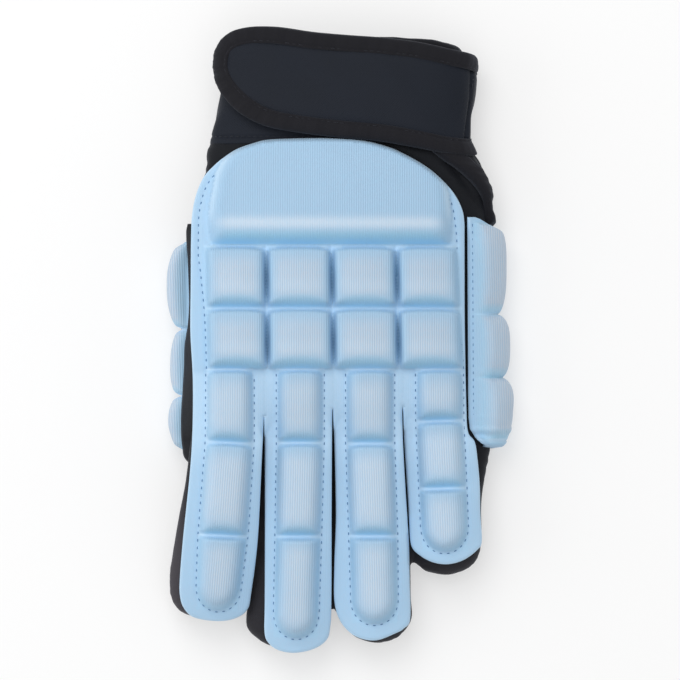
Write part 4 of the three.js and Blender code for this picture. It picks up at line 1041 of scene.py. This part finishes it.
def padStitches(pad, point, sides, inset):
    # lines of stitches in the flat margin, along the chosen sides of the pad
    lines = []
    for side in sides:
        keys = [-v for v in pad["y"]]
        if side == "inner":
            path = curveThrough([(x + inset, y) for x, y in zip(pad["inner"][1:-1], pad["y"][1:-1])], 1.0)
            tries = np.arange(60.0, -20.0, -0.5)
            y = path[:, 1]
            angle = np.radians([np.interp(x, point(np.full(len(tries), at), np.radians(tries), 0.3 + pad["sheet"])[:, 0], tries) for x, at in path])
        else:
            y = np.linspace(pad["y"][1] - 1, pad["y"][-2] + 1, 40)
            angle = np.radians(np.interp(-y, keys, pad["to"]) + math.degrees(inset / 15) * (1 if pad["to"][3] < 90 else -1))
        line = point(y, angle, 0.3 + pad["sheet"] + 0.02, 0.4)
        outward = point(y, angle, 5.3 + pad["sheet"]) - point(y, angle, 0.3 + pad["sheet"])
        lines.append((line, outward / np.linalg.norm(outward, axis=1, keepdims=True)))
    return lines


bluePadSide = makePad("side_pad_foam", sidePad, handPoint)
finish(bluePadSide, foamCloth, "ribbed_foam", "side_pad")
bluePadThumb = makePad("thumb_pad_foam", thumbPad, thumbPoint)
finish(bluePadThumb, foamCloth, "ribbed_foam", "thumb_pad")
padThreads = threadsOn("pad_stitches", padStitches(sidePad, handPoint, ("inner", "to"), 1.9)
                       + padStitches(thumbPad, thumbPoint, ("to",), 1.8), 2.7)
finish(padThreads, blueThread, "ribbed_foam")

# Strip of black fabric that joins the thumb pad to the hand, beside the shield
thumbStrip = {
    "y": [44.6, 42.5, 39.9, 33, 23, 12.6, 5.7, -1.2, -11.5, -23, -32.2, -40.9, -46, -47.6],
    "edge": [-58.3, -58.8, -58.9, -58.5, -58.1, -57.9, -58.4, -59.5, -59.9, -60.6, -61, -60.5, -59.2, -57.6],
    "thick": 1.5,
}


def makeThumbStrip():
    y = np.linspace(thumbStrip["y"][0], thumbStrip["y"][-1], 150)
    edge = readSmooth(thumbStrip, "edge", "y", y)
    top = handPoint(y, math.radians(148), 0.0)
    pad = thumbPoint(np.clip(y, -43, 38), math.radians(136), 0.3 + thumbPad["sheet"])
    tip = smoothStep(y, 38, 44.6)
    outerZ = pad[:, 2] + 0.9 + tip * 3.0
    u = np.linspace(0, 1, 18)
    uu, yy = np.meshgrid(u, y)
    across = top[:, None, 0] + (edge - top[:, 0])[:, None] * uu
    down = top[:, None, 2] + (outerZ - top[:, 2])[:, None] * uu**1.5
    fold = 0.22 * np.sin(yy / 2.3 + 2.5 * uu + np.sin(yy / 6)) * np.sin(math.pi * uu)
    thick = thumbStrip["thick"] * np.sqrt(np.clip(1 - uu**6, 0.02, 1))
    upper = np.stack([across, yy, down + fold], -1)
    lower = np.stack([across + 0.2, yy, down + fold - thick], -1)
    rings = np.concatenate([upper, lower[:, ::-1]], 1)
    piece = newMesh("thumb_seam_strip", rings.reshape(-1, 3), sweptFaces(len(y), 2 * len(u)))
    orient(piece)
    return piece


fabricStrip = makeThumbStrip()
finish(fabricStrip, stretchCloth, "stretch_fabric")


# Neoprene cuff and strap with their folded tapes, and the flap at the side of the wrist
cuff = {"low": 72.3, "high": 115.2, "wall": 3.0, "hem": 74.9, "hemStep": 2.0, "stitch": 78.1, "tapeLow": 111.6, "tapeHigh": 116.5}
strap = {
    "share": [0, 0.10, 0.22, 0.34, 0.46, 0.58, 0.70, 0.82, 0.90, 1.0, 1.08],
    "low": [0.375, 0.358, 0.342, 0.332, 0.325, 0.320, 0.310, 0.299, 0.298, 0.312, 0.320],
    "high": [0.507, 0.500, 0.498, 0.490, 0.485, 0.481, 0.474, 0.462, 0.455, 0.445, 0.441],
    "reach": 106, "gloveLength": 240, "tip": 157, "end": 22, "blunt": 0.6, "under": 2.3, "over": 4.7, "seat": 1.3,
    "tapeWide": 6.0, "tape": 0.85, "seamY": [78.5, 93.3, 101.6], "seamX": [48.6, 50.6, 51.2],
}
flap = {
    "y": [75.5, 72, 68.2, 63.8, 58.8, 53.3, 48.2, 40], "edge": [50, 49, 46, 40, 32, 22, 15, 10], "to": [-2, -8, -14, -28, -34, -34, -34, -34],
    "thick": 3.0, "tape": 19,
    # its lower end follows the side pad's slanted top, and its upper end runs under the strap
    "endTurn": [-35, 0, 20, 40, 50], "endY": [41.2, 42.6, 44.8, 47.2, 48.2],
}


def tubeMesh(name, section, turns, point):
    # closed ring of a closed section swept round the wrist; the section holds rows of y and out
    rings = np.stack([point(section[:, 0], angle, section[:, 1]) for angle in turns])
    return newMesh(name, rings.reshape(-1, 3), sweptFaces(len(turns), len(section), True))


def cuffDrop(points):
    # the cuff's upper edge falls towards the little finger side
    fall = np.interp(points[:, 0], [20, 35.3, 41.5, 45.4, 47.3, 48.5, 50], [0, 0.9, 2.2, 3.5, 4.8, 6.4, 7.0])
    points[:, 1] -= fall * smoothStep(points[:, 1], 88, 114)
    return points


def makeCuff():
    # outer face with a stepped hem and slow dents, then the inner face
    high, low = cuff["high"], cuff["low"]
    outside = np.concatenate([np.linspace(low, cuff["stitch"] + 1, 26), np.linspace(cuff["stitch"] + 2, high, 36)])
    step = cuff["hemStep"] * smoothStep(outside, cuff["hem"] - 0.1, cuff["hem"] + 0.5)
    dip = 0.35 * np.exp(-((outside - cuff["stitch"]) / 0.7)**2)
    section = np.vstack([np.column_stack([outside, -2.1 + step - dip]),
                         [(high + 0.2, -0.9), (high + 0.2, -cuff["wall"] + 0.4)],
                         np.column_stack([np.linspace(high, low, 16), np.full(16, -cuff["wall"])])])
    turns = np.linspace(0, 2 * math.pi, 150, endpoint=False)
    piece = tubeMesh("neoprene_cuff", section, turns, handPoint)
    points, normal = readPoints(piece)
    outer = np.tile(np.arange(len(section)) < 62, len(turns))
    angle = np.repeat(turns, len(section))
    y = points[:, 1]
    soft = 0.35 * np.sin(3 * angle + y / 9) * np.sin(y / 7 + 2 * angle) + 0.25 * np.sin(7 * angle + 0.4 * y)
    fade = smoothStep(y, cuff["low"], cuff["low"] + 6) * smoothStep(-y, -cuff["tapeLow"], -cuff["tapeLow"] + 6)
    points += normal * (0.8 * soft * fade * np.where(outer, 1, -0.7))[:, None]
    points[:, 2] = np.maximum(points[:, 2], 0.05)
    writePoints(piece, cuffDrop(points))
    orient(piece)
    return piece


def tapeSection(width, thick, inner, gap=0.12):
    # folded tape as inward distance d and height h over the middle of an edge of half thickness inner
    h = inner + gap
    outer = [(width, h + 0.25), (width - 0.45, h + thick * 0.95), (width - 1.0, h + thick * 0.62), (width - 1.9, h + thick * 1.15),
             (width * 0.42, h + thick * 1.32), (width * 0.2, h + thick * 1.18), (0.25, h + thick * 0.8)]
    turn = np.linspace(math.pi / 2, -math.pi / 2, 9)[1:-1]
    bow = [(-thick * 0.75 * math.cos(a) + 0.1, (h + thick * 0.55) * math.sin(a)) for a in turn]
    lower = [(d, -k) for d, k in reversed(outer)]
    hug = [(width - 0.05, -h), (0.55, -h), (0.38, 0), (0.55, h), (width - 0.05, h)]
    return curveClosed(outer + bow + lower, hug)


def curveClosed(soft, hug):
    fine = curveThrough(soft, 0.45)
    return np.vstack([fine, np.array(hug, float)])


def makeCuffTape():
    high = cuff["tapeHigh"]
    section = tapeSection(4.7, 0.75, cuff["wall"] / 2 - 0.2)
    middle = -cuff["wall"] / 2 - 0.35
    placed = np.column_stack([high - 0.65 - section[:, 0], middle + section[:, 1]])
    turns = np.linspace(0, 2 * math.pi, 170, endpoint=False)
    piece = tubeMesh("cuff_tape", placed, turns, handPoint)
    points, normal = readPoints(piece)
    angle = np.repeat(turns, len(placed))
    ripple = 0.05 * np.sin(angle * 41 + 2 * np.sin(3 * angle)) + 0.06 * np.sin(17 * angle)
    points += normal * ripple[:, None] * (points[:, 1] > 111.5)[:, None]
    points[:, 2] = np.maximum(points[:, 2], 0.02)
    writePoints(piece, cuffDrop(points))
    orient(piece)
    return piece


def strapAngles():
    # angle round the cuff for each length along the strap from its rounded end
    y = (strap["low"][3] + strap["high"][3]) / 2 * strap["gloveLength"]
    degrees = np.arange(strap["tip"], -70, -1.0)
    places = handPoint(np.full(len(degrees), y), np.radians(degrees), 0.3)
    along = np.concatenate([[0], np.cumsum(np.linalg.norm(np.diff(places, axis=0), axis=1))])
    return along, degrees


strapLengths, strapTurns = strapAngles()


def strapPoint(along, y, out, ground=0.3):
    angle = np.radians(np.interp(along, strapLengths, strapTurns))
    return handPoint(y, angle, out, ground)


def strapEdges(along, inset=0.0):
    # lower and upper edge of the strap at lengths from its rounded end
    share = np.asarray(along, float) / strap["reach"]
    low, high = (readSmooth(strap, name, "share", share) * strap["gloveLength"] for name in ("low", "high"))
    middle, half = (low + high) / 2, (high - low) / 2 - inset
    below, above = (np.clip((along - inset - strap["blunt"]) / (reach - inset), 0, 1) for reach in (26, 17))
    lower = np.maximum((1 - (1 - below)**2.1)**0.5, 0.02)
    upper = np.maximum((1 - (1 - above)**2.4)**0.46, 0.02)
    return middle - half * lower, middle + half * upper


def strapRelief(along, y):
    # slow swells of the padded neoprene: dents where it bends over the wrist's edge
    return (0.28 * np.sin(along / 8.5 + 0.09 * y) * np.sin(y / 6.5) + 0.3 * np.exp(-((along - 60) / 26)**2)
            - 0.45 * np.exp(-((along - 96 + 0.15 * (y - 92)) / 4.5)**2) + 0.12 * np.sin(along / 3.1 + y / 4))


def sewnSink(along, y):
    # how much lower the strap lies where its lower corner runs on over the flap
    return 1.6 * smoothStep(along, 92, 105) * smoothStep(-y, -92, -82)


def makeStrap():
    step = 0.9 * 1
    along = np.concatenate([0.9 + strap["blunt"] + (strap["end"] - strap["blunt"]) * (1 - np.cos(np.linspace(0, math.pi / 2, 30))),
                            np.arange(strap["end"] + 0.9 + step, strap["reach"] - 16, step),
                            np.arange(strap["reach"] - 16, strap["reach"] + 1.0, step / 2.5)])
    across = np.linspace(-1, 1, 46)
    low, high = strapEdges(along, 0.9)
    ys = (low + high)[:, None] / 2 + (high - low)[:, None] / 2 * across
    aa = np.repeat(along[:, None], len(across), 1)
    near = np.minimum(np.minimum(ys - low[:, None], high[:, None] - ys), aa * 0.8)
    puff = 0.5 * smoothStep(near, 3.0, 7.5) - 0.2 * np.exp(-((near - 4.3) / 0.9)**2)
    relief = strapRelief(aa, ys) * smoothStep(near, 2.0, 6.0)
    beyond = strapPoint(aa, ys, strap["over"] + puff)[..., 0] - np.interp(ys, strap["seamY"], strap["seamX"])
    relief += (0.45 * smoothStep(beyond, 0.2, 1.2) - 0.9 * np.exp(-(beyond / 0.5)**2)) * (aa > 60)
    top = strapPoint(aa, ys, strap["over"] + puff + relief - sewnSink(aa, ys))
    under = strapPoint(aa, ys, strap["under"] - sewnSink(aa, ys))
    rings = np.concatenate([top, under[:, ::-1]], 1)
    piece = newMesh("neoprene_strap", rings.reshape(-1, 3), sweptFaces(len(along), 2 * len(across)))
    orient(piece)
    return piece


def strapOutline(step):
    # length, place across and inward direction along the strap's edge: lower edge, rounded end, upper edge
    t = np.concatenate([np.linspace(strap["reach"] + 1.0, strap["end"] + 1, int(84 / step)),
                        strap["blunt"] + (strap["end"] + 1 - strap["blunt"]) * (1 - np.sin(np.linspace(0, math.pi / 2, int(34 / step))))])
    low, high = strapEdges(t)
    lower, upper = np.column_stack([t, low]), np.column_stack([t, high])[::-1]
    path = np.vstack([lower, upper[1:]])
    path = curveThrough(path[np.concatenate([[True], np.linalg.norm(np.diff(path, axis=0), axis=1) > 0.15])], step)
    run = np.gradient(path, axis=0)
    run /= np.maximum(np.linalg.norm(run, axis=1, keepdims=True), 1e-9)
    return path, np.column_stack([run[:, 1], -run[:, 0]])


def makeStrapTape():
    path, inward = strapOutline(0.8 * (1))
    middle = (strap["under"] + strap["over"]) / 2
    section = tapeSection(strap["tapeWide"], strap["tape"], (strap["over"] - strap["under"]) / 2)
    rings = []
    for i, ((a, y), (da, dy)) in enumerate(zip(path, inward)):
        swell = 1 + 0.05 * math.sin(i * 0.9) + 0.06 * math.sin(i * 0.37 + 1) + 0.04 * math.sin(i * 2.3)
        out = middle + section[:, 1] * np.where(section[:, 0] < strap["tapeWide"] - 0.2, swell, 1) - sewnSink(a, y)
        rings.append(strapPoint(a + da * section[:, 0], y + dy * section[:, 0], out))
    piece = newMesh("strap_tape", np.array(rings).reshape(-1, 3), sweptFaces(len(rings), len(section)))
    orient(piece)
    return piece


def makeHookTape():
    along = np.linspace(strap["end"], 68, 40)
    across = np.linspace(-10, 10, 12)
    low, high = strapEdges(along)
    middle = np.minimum((low + high) / 2, cuff["tapeLow"] - 10.8)
    ys = middle[:, None] + across
    aa = np.repeat(along[:, None], len(across), 1)
    top = strapPoint(aa, ys, 1.9 + 0 * ys)
    under = strapPoint(aa, ys, 0.3 + 0 * ys)
    rings = np.concatenate([top, under[:, ::-1]], 1)
    piece = newMesh("hook_tape", rings.reshape(-1, 3), sweptFaces(len(along), 2 * len(across)), smooth=False)
    orient(piece)
    return piece


def flapPoint(y, share, out, taped):
    # place on the flap: share runs over its tape, or from the tape to its hidden end
    keys = [-v for v in flap["y"]]
    edge, to = (np.interp(-np.asarray(y, float), keys, flap[name]) for name in ("edge", "to"))
    start = edge - (0 if taped else flap["tape"] + 1.0)
    stop = edge - flap["tape"] if taped else to
    return handPoint(y, np.radians(start + (stop - start) * share), out, 0.3)


def makeFlap(name, taped, thick):
    share = np.linspace(0, 1, 26 if taped else 40)
    uu, vv = np.meshgrid(share, np.linspace(0, 1, 70))
    edge, to = (np.interp(-52, [-v for v in flap["y"]], flap[key]) for key in ("edge", "to"))
    turn = edge - flap["tape"] * uu if taped else edge - flap["tape"] + (to - edge + flap["tape"]) * uu
    last = np.interp(turn, flap["endTurn"], flap["endY"])
    yy = flap["y"][0] + (last - flap["y"][0]) * vv
    if taped:
        puff = thick * (0.5 + 0.6 * np.sqrt(np.clip(1 - (2 * uu - 1)**4, 0, 1))) - 0.45 * np.exp(-((uu - 0.8) / 0.06)**2)
        puff += 0.12 * np.sin(yy * 1.7 + 3 * uu) + 0.10 * np.sin(yy * 0.6)
    else:
        puff = thick * (0.75 + 0.25 * uu) + 0.5 * np.sin(yy / 1.9 + 2.2 * uu) * np.sin(math.pi * uu) - 0.9 * np.exp(-((uu - 0.32 - (yy - 58) / 60) / 0.06)**2)
    ends = smoothStep(yy - last, 0, 2.4) ** 0.5
    covered = smoothStep(yy, 73.0, 75.3)
    puff *= 1 - 0.3 * np.exp(-((yy - 52) / 4)**2)
    top = flapPoint(yy, uu, 0.3 + puff * (0.35 + 0.65 * ends) * (1 - covered) + 0.75 * covered, taped)
    under = flapPoint(yy, uu, 0.22 + 0 * uu, taped)
    rings = np.concatenate([top, under[:, ::-1]], 1)
    piece = newMesh(name, rings.reshape(-1, 3), sweptFaces(len(vv), 2 * len(share)))
    orient(piece)
    return piece


neopreneCuff = makeCuff()
finish(neopreneCuff, neopreneCloth, "neoprene", "wrist_cuff")
turns = np.radians(np.linspace(-175, 184, 240))
seamLine = handPoint(np.full(240, cuff["stitch"]), turns, -0.22, 0.1)
seamOut = handPoint(np.full(240, cuff["stitch"]), turns, 4) - handPoint(np.full(240, cuff["stitch"]), turns, 0)
cuffStitches = threadsOn("cuff_stitches", [(seamLine, seamOut / np.linalg.norm(seamOut, axis=1, keepdims=True))], 2.3, (1.6, 0.4, 0.3))
finish(cuffStitches, blackThread, "neoprene")
cuffTape = makeCuffTape()
finish(cuffTape, tapeCloth, "binding_tape", "cuff_binding")
neopreneStrap = makeStrap()
finish(neopreneStrap, neopreneCloth, "neoprene", "wrist_strap")
path, inward = strapOutline(0.8)
lines = []
for line in (path + inward * (strap["tapeWide"] - 0.9), np.column_stack([np.full(60, 0.0), np.linspace(82, 105.5, 60)])):
    if line[0, 0] == 0:
        # the sewn end's seam: the length along the strap where it passes under the seam line
        tries = np.linspace(60, strap["reach"], 300)
        spread = strapPoint(np.repeat(tries[None], 60, 0), np.repeat(line[:, 1:], 300, 1), strap["over"])[..., 0]
        line[:, 0] = tries[np.argmin(np.abs(spread - np.interp(line[:, 1], strap["seamY"], strap["seamX"])[:, None]), 1)]
        line[:, 0] = np.convolve(np.pad(line[:, 0], 4, "edge"), np.full(9, 1 / 9), "valid")
        rise = strap["over"] + 0.12
    else:
        rise = strap["over"] + 0.62
    here, above = (strapPoint(line[:, 0], line[:, 1], rise + step - sewnSink(line[:, 0], line[:, 1])) for step in (0, 1))
    lines.append((here, above - here))
strapStitches = threadsOn("strap_stitches", lines, 2.5, (1.7, 0.42, 0.34))
finish(strapStitches, blackThread, "binding_tape")
strapTape = makeStrapTape()
finish(strapTape, tapeCloth, "binding_tape", "strap_binding")
hookStrip = makeHookTape()
finish(hookStrip, hookTape, "hook_tape", "hook_patch")
sideFlap = makeFlap("side_flap", False, flap["thick"])
finish(sideFlap, stretchCloth, "neoprene", "side_gusset")
flapTape = makeFlap("flap_tape", True, flap["thick"] + 0.7)
finish(flapTape, tapeCloth, "binding_tape", "gusset_binding")
print("wrist pieces ready")




# Floor, light and camera
def makeStage():
    studio = {"plane": 28, "across": 260.7, "lens": 552, "key": 60, "fill": 30}
    bpy.ops.mesh.primitive_plane_add(size=6, location=(0, 0, -0.0006))
    floor = bpy.context.object
    floor.name = "studio_floor"
    material, tree, shader = newMaterial("studio_floor", 0.9)
    shade = node(tree, "ShaderNodeTexNoise", Scale=0.7, Detail=1)
    tree.links.new(mixColour(tree, shade.outputs["Fac"], (0.47, 0.47, 0.47, 1), (0.49, 0.49, 0.49, 1)), shader.inputs["Base Color"])
    shader.inputs["Emission Color"].default_value = (1, 1, 1, 1)
    shader.inputs["Emission Strength"].default_value = 0.487
    floor.data.materials.append(material)
    scene = bpy.context.scene
    for name, place, size, power in (("key_light", (-0.3, 0.8, 1.4), 1.0, 10), ("top_light", (0.05, -0.2, 1.7), 1.4, 7),
                                     ("side_light", (-1.2, 0.0, 0.6), 0.9, 4.0)):
        bpy.ops.object.light_add(type="AREA", location=place)
        light = bpy.context.object
        light.name = name
        light.data.size = size
        light.data.energy = power
        light.rotation_euler = (-Vector(place)).to_track_quat("-Z", "Y").to_euler()
    world = bpy.data.worlds.new("studio")
    world.use_nodes = True
    world.node_tree.nodes["Background"].inputs[0].default_value = (1, 1, 1, 1)
    world.node_tree.nodes["Background"].inputs[1].default_value = 0.47
    scene.world = world
    scene.view_settings.view_transform = "Standard"
    distance = studio["across"] * mm * studio["lens"] / 36
    bpy.ops.object.camera_add(location=(0.00041, 0.00022, studio["plane"] * mm + distance), rotation=(0, 0, 0))
    camera = bpy.context.object
    camera.name = "photo_camera"
    camera.data.lens = studio["lens"]
    camera.data.clip_end = 50
    scene.camera = camera


makeStage()
print("done")
